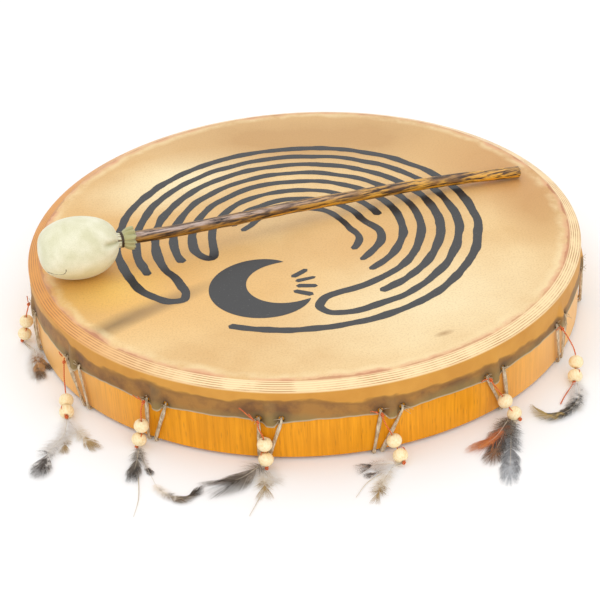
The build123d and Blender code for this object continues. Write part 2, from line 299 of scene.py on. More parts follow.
cut_ends = bmesh.new()
for number, route in THREAD_ROUTES.items():
    points = [at(*point) for point in route]
    shake = random.Random(40 + number)
    tied = knot(points[0] + (points[1] - points[0]) * 0.25, points[1] - points[0], number)
    outward = at(route[0][0], 1.0 / MM, 0)
    leftward = Vector((outward.y, -outward.x, 0))
    tail_length, steepness = TAILS[number]
    for tail in range(2):
        lean = leftward + Vector((0, 0, steepness + 0.35 * tail))
        start = points[0] + leftward * CUT_END_ASIDE * MM + outward * CUT_END_OUTSIDE * MM
        row = []
        for step in range(CUT_END_STEPS + 1):
            share = step / CUT_END_STEPS
            spot = start + lean.normalized() * tail_length * MM * (1 - 0.55 * tail) * share
            spot += Vector((0, 0, math.sin(share * 5 + number) * 0.8 * MM * share))
            row.append(section(spot, lean, outward, THREAD_DIAMETER * 0.42, THREAD_DIAMETER * 0.42))
        join_in(cut_ends, drawn_out(row, sides=6))
    # Where the thread ends lower than half its knot's height, the knot lies on the paper.
    knot_middle = Vector((points[-1].x, points[-1].y, max(points[-1].z, KNOT_ON_FLOOR)))
    join_in(tied, knot(knot_middle, points[-1] - points[-2], 20 + number))
    # The thread is doubled, and its second strand passes outside the lower bead.
    over = (points[-1] - points[-2]).cross(Vector((0, 0, 1))).normalized() * (-1) ** number
    loop = []
    for step in range(SECOND_STRAND_STEPS + 1):
        share = step / SECOND_STRAND_STEPS
        bow = math.sin(math.pi * share) * SECOND_STRAND_BOW * MM
        spot = points[-2].lerp(points[-1], share) + (over * 0.6 + Vector((0, 0, 0.85))).normalized() * bow
        loop.append(section(spot, points[-1] - points[-2], over, THREAD_DIAMETER * 0.4,
                            THREAD_DIAMETER * 0.4))
    join_in(tied, drawn_out(loop, sides=6))
    if number == 7:
        spare = eased([Vector(point) * MM for point in SPARE_END], 2 * MM, 10)
        row = [section(spot, spare[-1] - spare[0], Vector((0, 0, 1)), THREAD_DIAMETER * 0.45,
                       THREAD_DIAMETER * 0.45)
               for spot in spare]
        join_in(tied, drawn_out(row, sides=6))
    make_piece(tied, f"knots_{number}", f"charm_{number}", [waxed_thread])
make_piece(cut_ends, "thread_cut_ends", "drum", [waxed_thread])

# ---- Beads
# Two turned beech beads on each thread, slightly flatter along the hole. They are sanded and
# left plain, and the lower one rests on the knot.
BEAD_RADIUS = 5.8 * MM
BEAD_BORE = 1.6 * MM
BEAD_HALF_LENGTH = 5.3 * MM
BEAD_SIDES = 32
BEAD_PROFILE_STEPS = 14

# Unfinished beech: pale, matt, with short darker grain lines.
bead_wood, tree, shader = finish_of("sanded beech", Roughness=0.55)
place = add_node(tree, "TexCoord").outputs["Object"]
drawn = add_node(tree, "Mapping", {"Vector": place, "Scale": (1.0, 0.25, 1.0), "Rotation": (0.4, 0.3, 0.2)})
# Growth lines about 1.4 mm apart.
grain = add_node(tree, "TexNoise", {"Vector": drawn.outputs[0], "Scale": 700.0, "Detail": 4.0})
sharp = add_node(tree, "MapRange", {"Value": grain.outputs["Fac"], "From Min": 0.42, "From Max": 0.74})
tone = add_node(tree, "Mix", {0: sharp.outputs[0], 6: linear("#FDEBC0"), 7: linear("#F0D094")},
                data_type="RGBA")
tree.links.new(tone.outputs[2], shader.inputs["Base Color"])
raised = add_node(tree, "Bump", {"Height": grain.outputs["Fac"], "Strength": 0.25, "Distance": 0.0003})
tree.links.new(raised.outputs["Normal"], shader.inputs["Normal"])

for number, route in THREAD_ROUTES.items():
    points = [at(*point) for point in route]
    for rank, (start, end) in (("upper", (points[-3], points[-2])), ("lower", (points[-2], points[-1]))):
        low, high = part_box(f"charm_{number}_{rank}_bead")
        bead = bmesh.new()
        profile = []
        reach = math.asin(BEAD_BORE / BEAD_RADIUS)
        for step in range(BEAD_PROFILE_STEPS + 1):
            angle = reach + (math.pi - 2 * reach) * step / BEAD_PROFILE_STEPS
            profile.append(bead.verts.new((math.sin(angle) * BEAD_RADIUS, 0,
                                           math.cos(angle) * BEAD_HALF_LENGTH)))
        profile.append(profile[0])
        outline = [bead.edges.new(pair) for pair in zip(profile, profile[1:])]
        bmesh.ops.spin(bead, geom=outline, cent=(0, 0, 0), axis=(0, 0, 1), angle=math.tau, steps=BEAD_SIDES,
                       use_merge=True)
        bmesh.ops.remove_doubles(bead, verts=bead.verts, dist=1e-7)
        bmesh.ops.recalc_face_normals(bead, faces=bead.faces)
        facing = (end - start).to_track_quat("Z", "Y").to_matrix().to_4x4()
        bmesh.ops.transform(bead, matrix=Matrix.Translation((low + high) / 2) @ facing, verts=bead.verts)
        make_piece(bead, f"{rank}_bead_{number}", f"charm_{number}", [bead_wood],
                                [f"charm_{number}_{rank}_bead"])

# ---- Hoop
# Five thin maple plies bent and glued one inside another, with the top edge planed to a slope
# that falls to the outside. The face grain stands upright.
HOOP_RADIUS = 228.6
PLY_COUNT = 5
PLY_THICKNESS = 1.8
HOOP_BOTTOM = 2.6
RIDGE_HEIGHT = 65.2
BEVEL_DROP = 3.7
HOOP_INNER = HOOP_RADIUS - PLY_COUNT * PLY_THICKNESS
GLUE_GAP = 0.06
FOOT_ROUNDING = 0.3
EDGE_ROUNDING = 0.2
HOOP_SIDES = 256

ply_woods = []
for name, dark, light in (("lacquered maple face ply", "#D0840C", "#F0A01A"),
                          ("maple cross ply", "#C47E24", "#E8A548")):
    # Lacquered maple: golden amber, glossy, with fine upright grain and short dark flecks.
    wood, tree, shader = finish_of(name, Roughness=0.42, Specular_IOR_Level=0.22)
    place = add_node(tree, "TexCoord").outputs["Object"]
    upright = add_node(tree, "Mapping", {"Vector": place, "Scale": (1.0, 1.0, 0.035)})
    # Grain lines about 2 mm apart, drawn along the wall's height.
    grain = add_node(tree, "TexNoise",
                     {"Vector": upright.outputs[0], "Scale": 480.0, "Detail": 6.0, "Roughness": 0.65})
    lines = add_node(tree, "MapRange", {"Value": grain.outputs["Fac"], "From Min": 0.28, "From Max": 0.62})
    broad = add_node(tree, "TexNoise", {"Vector": place, "Scale": 22.0, "Detail": 2.0})
    share = add_node(tree, "Math", {0: lines.outputs[0], 1: broad.outputs["Fac"]}, operation="MULTIPLY")
    spread = add_node(tree, "Math", {0: share.outputs[0], 1: 1.9}, operation="MULTIPLY", use_clamp=True)
    tone = add_node(tree, "Mix", {0: spread.outputs[0], 6: linear(dark), 7: linear(light)}, data_type="RGBA")
    flat = add_node(tree, "Mapping", {"Vector": place, "Scale": (1.0, 1.0, 0.16)})
    # Flecks about 4 mm long.
    flecks = add_node(tree, "TexVoronoi", {"Vector": flat.outputs[0], "Scale": 420.0, "Randomness": 1.0})
    near = add_node(tree, "MapRange",
                    {"Value": flecks.outputs["Distance"], "From Min": 0.08, "From Max": 0.26,
                     "To Min": 0.40, "To Max": 0.0})
    flecked = add_node(tree, "Mix", {0: near.outputs[0], 6: tone.outputs[2], 7: linear("#A8691C")},
                       data_type="RGBA")
    # Painted sheen: the wood is painted paler and pinker towards both sides of the drum, where the wall turns
    # edge-on.
    parts = add_node(tree, "SeparateXYZ", {0: place})
    aside = add_node(tree, "Math", {0: parts.outputs["X"]}, operation="ABSOLUTE")
    edge = add_node(tree, "MapRange", {"Value": aside.outputs[0], "From Min": 0.120, "From Max": 0.205,
                                       "To Min": 0.0, "To Max": 0.8})
    side_sheen_colour = add_node(tree, "Mix", {0: edge.outputs[0], 6: flecked.outputs[2], 7: linear("#F2C07C")},
                     data_type="RGBA")
    tree.links.new(side_sheen_colour.outputs[2], shader.inputs["Base Color"])
    raised = add_node(tree, "Bump", {"Height": grain.outputs["Fac"], "Strength": 0.3, "Distance": 0.0004})
    tree.links.new(raised.outputs["Normal"], shader.inputs["Normal"])
    ply_woods.append(wood)


def slope_height(radius):
    """Height of the planed top edge at a radius."""
    return RIDGE_HEIGHT - BEVEL_DROP * (radius - HOOP_INNER) / (HOOP_RADIUS - HOOP_INNER)


for ply in range(PLY_COUNT):
    inner = HOOP_INNER + ply * PLY_THICKNESS + (GLUE_GAP if ply else 0)
    outer = HOOP_INNER + (ply + 1) * PLY_THICKNESS
    bm = bmesh.new()
    low, high = HOOP_BOTTOM, slope_height(outer)
    inner_high = slope_height(inner)
    corners = [(inner, low + FOOT_ROUNDING), (inner + FOOT_ROUNDING, low),
               (outer - FOOT_ROUNDING, low), (outer, low + FOOT_ROUNDING),
               (outer, high - EDGE_ROUNDING), (outer - EDGE_ROUNDING, high),
               (inner + EDGE_ROUNDING, inner_high), (inner, inner_high - EDGE_ROUNDING)]
    profile = [bm.verts.new(at(0, radius, height)) for radius, height in corners]
    outline = [bm.edges.new(pair) for pair in zip(profile, profile[1:] + profile[:1])]
    bmesh.ops.spin(bm, geom=outline, cent=(0, 0, 0), axis=(0, 0, 1), angle=math.tau, steps=HOOP_SIDES,
                   use_merge=True)
    bmesh.ops.remove_doubles(bm, verts=bm.verts, dist=1e-7)
    bmesh.ops.recalc_face_normals(bm, faces=bm.faces)
    bands = make_piece(bm, f"ply_{ply + 1}", "drum", [ply_woods[ply % 2]],
                       [f"hoop_ply_{ply + 1}"])
    bands.data.set_sharp_from_angle(angle=math.radians(40))

# ---- Rawhide skin
# One wet hide drawn over the hoop and laced down. Dry, it is hard and half clear, tight on the
# slope, looser and milky at its wavy lower edge, with a pleat between each pair of lacing holes.
SKIN_THICKNESS = 0.9
HEAD_TOP = RIDGE_HEIGHT + SKIN_THICKNESS
SKIRT_RADIUS = HOOP_RADIUS + SKIN_THICKNESS
SKIRT_TOP = 61.2
SKIRT_BOTTOM = 34.0
STATIONS = 16
STATION_STEP = 360 / STATIONS
FIRST_STATION = -7.9
HOLE_HALF_ANGLE = 2.1
HOLE_HEIGHT = 38.6
HOLE_WIDTH = 4.6
HOLE_DROP = 5.0
SKIN_COLUMNS = 960
SKIRT_ROWS = 18
# Heights in millimetres: where the hide starts to come loose, where its pleats start to open, the
# distance over which each comes on, and the middle height of its cut edge.
LOOSE_TOP, LOOSE_FADE = 52.0, 12.0
PLEAT_TOP, PLEAT_FADE = 59.0, 19.0
EDGE_HEIGHT = 36.8
EDGE_SAG = 3.0
PLEAT_DEPTH = 2.3
# Holes are cut out to this share of their half size, and their rims are then drawn out to the
# full size and lifted a little by the pull of the lacing.
HOLE_CUT_SHARE = 0.86
HOLE_RIM_SHARE = 1.5
HOLE_RIM_LIFT = 0.35


def station_azimuth(station):
    """Azimuth in degrees of the middle of a pair of lacing holes."""
    return FIRST_STATION - STATION_STEP * station


def off_station(azimuth):
    """Degrees from the nearest station's middle."""
    return (azimuth - FIRST_STATION + STATION_STEP / 2) % STATION_STEP - STATION_STEP / 2


def hump(distance, width):
    """1 at no distance, falling like a bell to about a third at the width."""
    return math.exp(-(distance / width) ** 2)


def flat_hump(distance, half, soft):
    """1 inside the half width, falling smoothly to 0 over the soft distance."""
    share = min(1.0, max(0.0, (half + soft - abs(distance)) / soft))
    return share * share * (3 - 2 * share)


def skirt_edge(azimuth):
    """Height of the hide's cut edge: in slow waves, lower at the holes, lowest at each pleat's tab."""
    around = at(azimuth, 1000, 0)
    wander = noise.noise(around * 7) * 1.5 + noise.noise(around * 26) * 0.7
    apart = off_station(azimuth)
    tab_drop = 3.0 + 2.2 * noise.noise(Vector((round((azimuth - apart) * 0.4), 1.5, 0.5)))
    return EDGE_HEIGHT + wander - EDGE_SAG * hump(apart, 3.6) - tab_drop * flat_hump(apart, 0.45, 1.15)


def skirt_bulge(azimuth, height):
    """How far the hide stands off the wood."""
    around = at(azimuth, 1000, height * 3)
    apart = off_station(azimuth)
    loose = min(1.0, max(0.0, (LOOSE_TOP - height) / LOOSE_FADE))
    open_pleat = min(1.0, max(0.0, (PLEAT_TOP - height) / PLEAT_FADE))
    pleat = PLEAT_DEPTH * flat_hump(apart, 0.35 + 0.25 * loose, 0.75)
    pleat = pleat * open_pleat * open_pleat * (3 - 2 * open_pleat)
    calm = 1 - hump(abs(apart) - HOLE_HALF_ANGLE, 0.9)
    ripple = loose * calm * (0.45 + 0.5 * noise.noise(around * 14))
    return pleat + max(0.0, ripple)


skin = bmesh.new()
drop_share = skin.verts.layers.float.new("drop")
pleat_share = skin.verts.layers.float.new("pleat")
hole_share = skin.verts.layers.float.new("hole")
line = [(r, HEAD_TOP) for r in (0, 40, 80, 120, 155, 185, 205, 214, 218.4)]
line += [(219.6, HEAD_TOP - 0.12), (220.6, HEAD_TOP - 0.50), (222.6, 64.94), (225.6, 63.70), (228.0, 62.70),
         (229.1, 62.1)]
line += [(SKIRT_RADIUS, SKIRT_TOP - (SKIRT_TOP - SKIRT_BOTTOM) * row / SKIRT_ROWS)
         for row in range(SKIRT_ROWS + 1)]
profile = [skin.verts.new(at(0, radius, height)) for radius, height in line]
outline = [skin.edges.new(pair) for pair in zip(profile, profile[1:])]
bmesh.ops.spin(skin, geom=outline, cent=(0, 0, 0), axis=(0, 0, 1), angle=math.tau, steps=SKIN_COLUMNS,
               use_merge=True)
bmesh.ops.remove_doubles(skin, verts=skin.verts, dist=1e-6)
for vert in skin.verts:
    height = vert.co.z / MM
    if height > SKIRT_TOP + 0.01:
        continue
    azimuth = math.degrees(math.atan2(vert.co.y, vert.co.x))
    share = (SKIRT_TOP - height) / (SKIRT_TOP - SKIRT_BOTTOM)
    vert[drop_share] = share
    unevenness = 0.75 + 0.5 * noise.noise(at(azimuth, 700, height * 9))
    vert[pleat_share] = flat_hump(off_station(azimuth), 0.6, 1.0) * unevenness
    height = SKIRT_TOP - share * (SKIRT_TOP - skirt_edge(azimuth))
    vert.co = at(azimuth, SKIRT_RADIUS + skirt_bulge(azimuth, height) * min(1, share * 3), height)


def hole_offset(point):
    """A point's place in half widths and half heights of the nearest lacing hole, and its azimuth."""
    azimuth = math.degrees(math.atan2(point.y, point.x))
    apart = off_station(azimuth)
    side = 1 if apart > 0 else -1
    sideways = math.radians(apart - side * HOLE_HALF_ANGLE) * SKIRT_RADIUS
    upward = point.z / MM - HOLE_HEIGHT
    hole_azimuth = azimuth - (apart - side * HOLE_HALF_ANGLE)
    return sideways / (HOLE_WIDTH / 2), upward / (HOLE_DROP / 2), hole_azimuth


cut = [face for face in skin.faces if face.calc_center_median().z / MM < SKIRT_TOP
       and math.hypot(*hole_offset(face.calc_center_median())[:2]) < HOLE_CUT_SHARE]
bmesh.ops.delete(skin, geom=cut, context="FACES")
for vert in skin.verts:
    if vert.co.z / MM > SKIRT_TOP:
        continue
    sideways, upward, hole_azimuth = hole_offset(vert.co)
    reach = math.hypot(sideways, upward)
    vert[hole_share] = hump(reach, 1.9)
    if vert.is_boundary and reach < HOLE_RIM_SHARE and vert[drop_share] < 0.97:
        turned = hole_azimuth + math.degrees(sideways / reach * HOLE_WIDTH / 2 / SKIRT_RADIUS)
        radius = math.hypot(vert.co.x, vert.co.y) / MM + HOLE_RIM_LIFT
        vert.co = at(turned, radius, HOLE_HEIGHT + upward / reach * HOLE_DROP / 2)
bmesh.ops.recalc_face_normals(skin, faces=skin.faces)

# Rawhide: cream to tan, faintly speckled, with a low gloss. Where it lies on the wood it goes
# amber, over the slope it shows the edges of the plies, and its loose edge is milky.
rawhide, tree, shader = finish_of("scraped rawhide", IOR=1.5)
place = add_node(tree, "TexCoord").outputs["Object"]
parts = add_node(tree, "SeparateXYZ", {0: place})
level = add_node(tree, "CombineXYZ", {0: parts.outputs["X"], 1: parts.outputs["Y"]})
radius = add_node(tree, "VectorMath", {0: level.outputs[0]}, operation="LENGTH").outputs["Value"]
clouds = add_node(tree, "TexNoise", {"Vector": place, "Scale": 11.0, "Detail": 5.0, "Roughness": 0.55})
cloud_share = add_node(tree, "MapRange", {"Value": clouds.outputs["Fac"], "From Min": 0.36, "From Max": 0.66})
colour = add_node(tree, "Mix", {0: cloud_share.outputs[0], 6: linear("#DDB272"), 7: linear("#EECB90")},
                  data_type="RGBA").outputs[2]
# Each row is one stain or pale patch: its middle and half sizes in metres, turn in degrees, colour
# and strength.
for middle, half_sizes, turned, code, strength in (
        ((-0.170, -0.050, 0.066), (0.160, 0.130, 0.1), 0, "#E2A648", 0.80),
        ((0.100, -0.130, 0.066), (0.160, 0.100, 0.1), 20, "#F3DCAC", 0.70),
        ((-0.110, 0.095, 0.066), (0.090, 0.055, 0.1), 30, "#F6E2B2", 0.95),
        ((0.020, 0.170, 0.066), (0.240, 0.080, 0.1), -4, "#C79A5E", 0.90),
        ((0.150, 0.120, 0.066), (0.080, 0.080, 0.1), 0, "#D8A866", 0.80),
        ((0.200, 0.015, 0.066), (0.040, 0.080, 0.1), 0, "#D0A060", 0.85),
        ((-0.040, -0.100, 0.066), (0.110, 0.070, 0.1), 40, "#E6B468", 0.45),
        ((0.060, -0.020, 0.066), (0.080, 0.060, 0.1), 0, "#D9A35A", 0.55),
        ((-0.150, -0.133, 0.066), (0.080, 0.014, 0.1), 41, "#84683E", 0.55),
        ((-0.105, -0.102, 0.066), (0.060, 0.011, 0.1), 38, "#8E6E44", 0.40),
        ((-0.152, -0.078, 0.066), (0.050, 0.040, 0.1), 0, "#F4C468", 0.85),
        ((0.180, 0.090, 0.066), (0.070, 0.100, 0.1), 0, "#C99252", 0.75),
        ((0.102, -0.168, 0.066), (0.010, 0.004, 0.1), 25, "#A67C48", 0.60)):
    patch = add_node(tree, "Mapping",
                     {"Vector": place, "Location": middle, "Rotation": (0, 0, math.radians(turned)),
                      "Scale": half_sizes}, vector_type="TEXTURE")
    fade = add_node(tree, "TexGradient", {"Vector": patch.outputs[0]}, gradient_type="SPHERICAL")
    broken = add_node(tree, "Math", {0: fade.outputs["Fac"], 1: clouds.outputs["Fac"]}, operation="MULTIPLY")
    share = add_node(tree, "Math", {0: broken.outputs[0], 1: 2.6 * strength}, operation="MULTIPLY",
                     use_clamp=True)
    colour = add_node(tree, "Mix", {0: share.outputs[0], 6: colour, 7: linear(code)},
                      data_type="RGBA").outputs[2]
# Speckle: the pores of the hide, about 1.5 mm apart.
pores = add_node(tree, "TexNoise", {"Vector": place, "Scale": 650.0, "Detail": 3.0, "Roughness": 0.7})
specks = add_node(tree, "MapRange",
                  {"Value": pores.outputs["Fac"], "From Min": 0.46, "From Max": 0.72, "To Max": 0.30})
colour = add_node(tree, "Mix", {0: specks.outputs[0], 6: colour, 7: linear("#A9783C")},
                  data_type="RGBA").outputs[2]
# The rim band: a paler strip, then a pinkish line where the hide turns over the ridge.
wavering = add_node(tree, "TexNoise", {"Vector": place, "Scale": 45.0, "Detail": 3.0})
shift = add_node(tree, "MapRange", {"Value": wavering.outputs["Fac"], "From Min": 0.3, "From Max": 0.7,
                                    "To Min": -0.0022, "To Max": 0.0022})
wavy_radius = add_node(tree, "Math", {0: radius, 1: shift.outputs[0]}, operation="ADD").outputs[0]
blots = add_node(tree, "TexNoise", {"Vector": place, "Scale": 38.0, "Detail": 6.0, "Roughness": 0.65})
blot_share = add_node(tree, "MapRange", {"Value": blots.outputs["Fac"], "From Min": 0.36, "From Max": 0.56})
for start, full, code, strength in ((0.2085, 0.2135, "#F4DCAA", 0.50), (0.2150, 0.2180, "#D98E66", 0.60)):
    band = add_node(tree, "MapRange",
                    {"Value": wavy_radius, "From Min": start, "From Max": full, "To Max": strength})
    patchy = add_node(tree, "Math", {0: band.outputs[0], 1: blot_share.outputs[0]}, operation="MULTIPLY")
    colour = add_node(tree, "Mix", {0: patchy.outputs[0], 6: colour, 7: linear(code)},
                      data_type="RGBA").outputs[2]
# On the ridge itself the hide is stained red brown.
ridge_line = add_node(tree, "MapRange",
                      {"Value": wavy_radius, "From Min": 0.2187, "From Max": 0.2196, "To Max": 0.60})
ridge_there = add_node(tree, "MapRange", {"Value": cloud_share.outputs[0], "To Min": 0.45})
ridge_share = add_node(tree, "Math", {0: ridge_line.outputs[0], 1: ridge_there.outputs[0]},
                       operation="MULTIPLY")
colour = add_node(tree, "Mix", {0: ridge_share.outputs[0], 6: colour, 7: linear("#A9562E")},
                  data_type="RGBA").outputs[2]
# Over the slope the edges of the plies show through, 1.8 mm apart, wavering a little.
waver = add_node(tree, "MapRange", {"Value": clouds.outputs["Fac"], "From Min": 0.3, "From Max": 0.7,
                                    "To Min": -HOOP_INNER * MM - 0.0006, "To Max": -HOOP_INNER * MM + 0.0006})
ply_place = add_node(tree, "Math", {0: radius, 1: waver.outputs[0]}, operation="ADD")
ply_wave = add_node(tree, "Math", {0: ply_place.outputs[0], 1: PLY_THICKNESS * MM / 2}, operation="PINGPONG")
glue = add_node(tree, "MapRange",
                {"Value": ply_wave.outputs[0], "From Min": 0.0001, "From Max": 0.0006, "To Min": 0.85,
                 "To Max": 0.0})
glue_there = add_node(tree, "MapRange",
                      {"Value": blots.outputs["Fac"], "From Min": 0.40, "From Max": 0.58, "To Min": 0.30})
glue_share = add_node(tree, "Math", {0: glue.outputs[0], 1: glue_there.outputs[0]}, operation="MULTIPLY")
leftward_share = add_node(tree, "MapRange",
                          {"Value": parts.outputs["X"], "From Min": -0.08, "From Max": -0.20})
ply_cream = add_node(tree, "Mix", {0: leftward_share.outputs[0], 6: linear("#FBDFAC"), 7: linear("#E09A44")},
                     data_type="RGBA")
bands = add_node(tree, "Mix", {0: glue_share.outputs[0], 6: ply_cream.outputs[2], 7: linear("#B06E34")},
                 data_type="RGBA")
on_slope = add_node(tree, "MapRange", {"Value": radius, "From Min": 0.2199, "From Max": 0.2208})
colour = add_node(tree, "Mix", {0: on_slope.outputs[0], 6: colour, 7: bands.outputs[2]},
                  data_type="RGBA").outputs[2]
# The wall: amber where the hide is tight on the wood, grey and milky below.
height = parts.outputs["Z"]
ragged = add_node(tree, "Mapping", {"Vector": place, "Scale": (1.0, 1.0, 2.2)})
ragged_noise = add_node(tree, "TexNoise",
                        {"Vector": ragged.outputs[0], "Scale": 13.0, "Detail": 4.0, "Roughness": 0.55})
sway = add_node(tree, "MapRange", {"Value": ragged_noise.outputs["Fac"], "From Min": 0.3, "From Max": 0.7,
                                   "To Min": -0.006, "To Max": 0.006})
swayed = add_node(tree, "Math", {0: height, 1: sway.outputs[0]}, operation="ADD").outputs[0]
# The hide lies tight further down on the drum's right.
tighter = add_node(tree, "MapRange",
                   {"Value": parts.outputs["X"], "From Min": 0.0, "From Max": 0.13, "To Max": 0.009})
held_height = add_node(tree, "Math", {0: swayed, 1: tighter.outputs[0]}, operation="ADD").outputs[0]
tight = add_node(tree, "Mix", {0: wavering.outputs["Fac"], 6: linear("#BC7C1E"), 7: linear("#DCA040")},
                 data_type="RGBA")
stained = add_node(tree, "MapRange", {"Value": blots.outputs["Fac"], "From Min": 0.40, "From Max": 0.62})
loose_brown = add_node(tree, "Mix", {0: stained.outputs[0], 6: linear("#A2702C"), 7: linear("#724A22")},
                       data_type="RGBA")
greyed = add_node(tree, "MapRange", {"Value": swayed, "From Min": 0.043, "From Max": 0.036, "To Max": 0.75})
milky = add_node(tree, "Mix", {0: greyed.outputs[0], 6: loose_brown.outputs[2], 7: linear("#8A7440")},
                 data_type="RGBA")
by_pleat = add_node(tree, "Attribute", attribute_name="pleat")
pleat_grey = add_node(tree, "Math", {0: by_pleat.outputs["Fac"], 1: 0.45}, operation="MULTIPLY")
milky = add_node(tree, "Mix", {0: pleat_grey.outputs[0], 6: milky.outputs[2], 7: linear("#8E7844")},
                 data_type="RGBA")
freed = add_node(tree, "MapRange", {"Value": held_height, "From Min": 0.0550, "From Max": 0.0505})
wall = add_node(tree, "Mix", {0: freed.outputs[0], 6: tight.outputs[2], 7: milky.outputs[2]},
                data_type="RGBA")
# A soft dark border where the hide leaves the wood, and dark stains round the holes.
border = add_node(tree, "MapRange", {"Value": freed.outputs[0], "To Max": math.pi})
border_sine = add_node(tree, "Math", {0: border.outputs[0]}, operation="SINE")
border_share = add_node(tree, "Math", {0: border_sine.outputs[0], 1: 0.45}, operation="MULTIPLY")
wall = add_node(tree, "Mix", {0: border_share.outputs[0], 6: wall.outputs[2], 7: linear("#5A3A18")},
                data_type="RGBA")
by_hole = add_node(tree, "Attribute", attribute_name="hole")
hole_stain = add_node(tree, "Math", {0: by_hole.outputs["Fac"], 1: 0.9}, operation="MULTIPLY", use_clamp=True)
wall = add_node(tree, "Mix", {0: hole_stain.outputs[0], 6: wall.outputs[2], 7: linear("#4A3418")},
                data_type="RGBA")
lip_share = add_node(tree, "Attribute", attribute_name="drop")
lip = add_node(tree, "MapRange",
               {"Value": lip_share.outputs["Fac"], "From Min": 0.94, "From Max": 0.99, "To Max": 0.6})
lipped = add_node(tree, "Mix", {0: lip.outputs[0], 6: wall.outputs[2], 7: linear("#E4D6B8")},
                  data_type="RGBA")
below = add_node(tree, "MapRange", {"Value": height, "From Min": 0.0622, "From Max": 0.0608})
colour = add_node(tree, "Mix", {0: below.outputs[0], 6: colour, 7: lipped.outputs[2]},
                  data_type="RGBA").outputs[2]
tree.links.new(colour, shader.inputs["Base Color"])
gloss = add_node(tree, "MapRange", {"Value": clouds.outputs["Fac"], "To Min": 0.34, "To Max": 0.52})
wall_gloss = add_node(tree, "MapRange", {"Value": below.outputs[0], "To Min": 0.0, "To Max": 0.16})
rough = add_node(tree, "Math", {0: gloss.outputs[0], 1: wall_gloss.outputs[0]}, operation="ADD")
tree.links.new(rough.outputs[0], shader.inputs["Roughness"])
leathery = add_node(tree, "Math", {0: pores.outputs["Fac"], 1: wavering.outputs["Fac"]}, operation="ADD")
raised = add_node(tree, "Bump", {"Height": leathery.outputs[0], "Strength": 0.25, "Distance": 0.0006})
tree.links.new(raised.outputs["Normal"], shader.inputs["Normal"])

hide = make_piece(skin, "rawhide_skin", "drum", [rawhide],
                  ["rawhide_head", "rawhide_skirt", "skirt_tucks"])
wall_thickness = hide.modifiers.new("hide thickness", "SOLIDIFY")
wall_thickness.thickness = SKIN_THICKNESS * MM
wall_thickness.offset = -1.0

# ---- Painted design
# Brushed on by hand in one coat of black paint: bent ring lines that turn back on each other,
# and a crescent moon in the open part.
PAINT_HEIGHT = HEAD_TOP + 0.10
RINGS_MIDDLE = (-5.0, -3.0)
# Each line: a row of bends, as degrees and millimetres about the rings' middle, and its half width.
RING_LINES = [
    ([(-112, 150), (214, 150), (224, 145), (228, 134.5), (224, 124), (214, 119), (-60, 119)], 3.8),
    ([(206, 134.5), (-72, 134.5), (-80, 131), (-84, 119), (-80, 107), (-72, 103.5), (206, 103.5)], 3.6),
    ([(-50, 88), (196, 88), (205, 84), (209, 80), (204, 74), (194, 72), (150, 72), (14, 72)], 3.6),
    ([(-46, 72), (-12, 72), (-3, 68), (3, 62), (14, 57), (40, 56), (168, 56)], 3.5),
    ([(-38, 56), (-16, 54), (0, 44), (30, 40), (60, 40), (160, 41), (176, 48)], 3.3),
]
MOON_MIDDLE = (-27.0, -87.0)
MOON_RADIUS = 37.0
MOON_HALF_WIDTH = 17.0
# The crescent's first bearing and its sweep, in degrees about the moon's middle. The rays start
# and turn in degrees too, and the rest about them is in millimetres.
MOON_START, MOON_SWEEP = 75, 250
MOON_STEPS = 90
RAY_COUNT = 4
RAY_FIRST, RAY_TURN = 38, 22
RAY_FOOT = 19
RAY_POINTS, RAY_POINT_STEP = 9, 2.2
RAY_HALF_WIDTH = 2.6
STROKE_STEP = 2.0
BRUSH_WOBBLE = 1.3


def strip(bm, count, place_vert):
    """A flat strip of quads, each vertex placed from its share of the length and its side, -1 or 1."""
    made = bmesh.ops.create_grid(bm, x_segments=1, y_segments=count, size=1.0)["verts"]
    for vert in made:
        share, side = (vert.co.y + 1) / 2, vert.co.x
        vert.co = place_vert(share, side)
    return made


def stroke(bm, route, half_width, seed):
    """One brush stroke along a row of points in millimetres, rounded at both ends and unsteady in width."""
    lengths = [0.0]
    for before, after in zip(route, route[1:]):
        lengths.append(lengths[-1] + (after - before).length)
    whole = lengths[-1]

    def spot(distance):
        distance = min(max(distance, 0.0), whole)
        index = next((i for i in range(1, len(lengths)) if lengths[i] >= distance), len(lengths) - 1)
        run = lengths[index] - lengths[index - 1]
        return route[index - 1].lerp(route[index], (distance - lengths[index - 1]) / run if run else 0.0)

    def place_vert(share, side):
        distance = whole * share
        ahead = (spot(distance + 1.5) - spot(distance - 1.5)).normalized()
        beside = Vector((-ahead.y, ahead.x))
        drawn = spot(distance)
        to_end = min(distance, whole - distance)
        rounding = math.sqrt(max(0.0, 1 - (1 - min(1.0, to_end / half_width)) ** 2))
        where = Vector((drawn.x, drawn.y, seed * 11.0)) * 0.045
        sway = noise.noise(where) * BRUSH_WOBBLE
        swell = 1 + 0.26 * noise.noise(where * 1.7 + Vector((0, 0, 5))) + 0.07 * noise.noise(where * 9 * side)
        drawn = drawn + beside * (sway + side * half_width * swell * rounding)
        return Vector((drawn.x, drawn.y, PAINT_HEIGHT)) * MM

    count = max(8, int(whole / STROKE_STEP))
    strip(bm, count, place_vert)


design = bmesh.new()
for seed, (bends, half_width) in enumerate(RING_LINES):
    route = []
    for (angle, radius_here), (next_angle, next_radius) in zip(bends, bends[1:]):
        span = abs(next_angle - angle)
        steps = max(1, int(span / 2))
        for step in range(steps):
            share = step / steps
            bearing = math.radians(angle + (next_angle - angle) * share)
            reach = radius_here + (next_radius - radius_here) * share
            route.append(Vector((RINGS_MIDDLE[0] + math.cos(bearing) * reach,
                                 RINGS_MIDDLE[1] + math.sin(bearing) * reach)))
    stroke(design, eased(route, STROKE_STEP, 8), half_width, seed + 1)


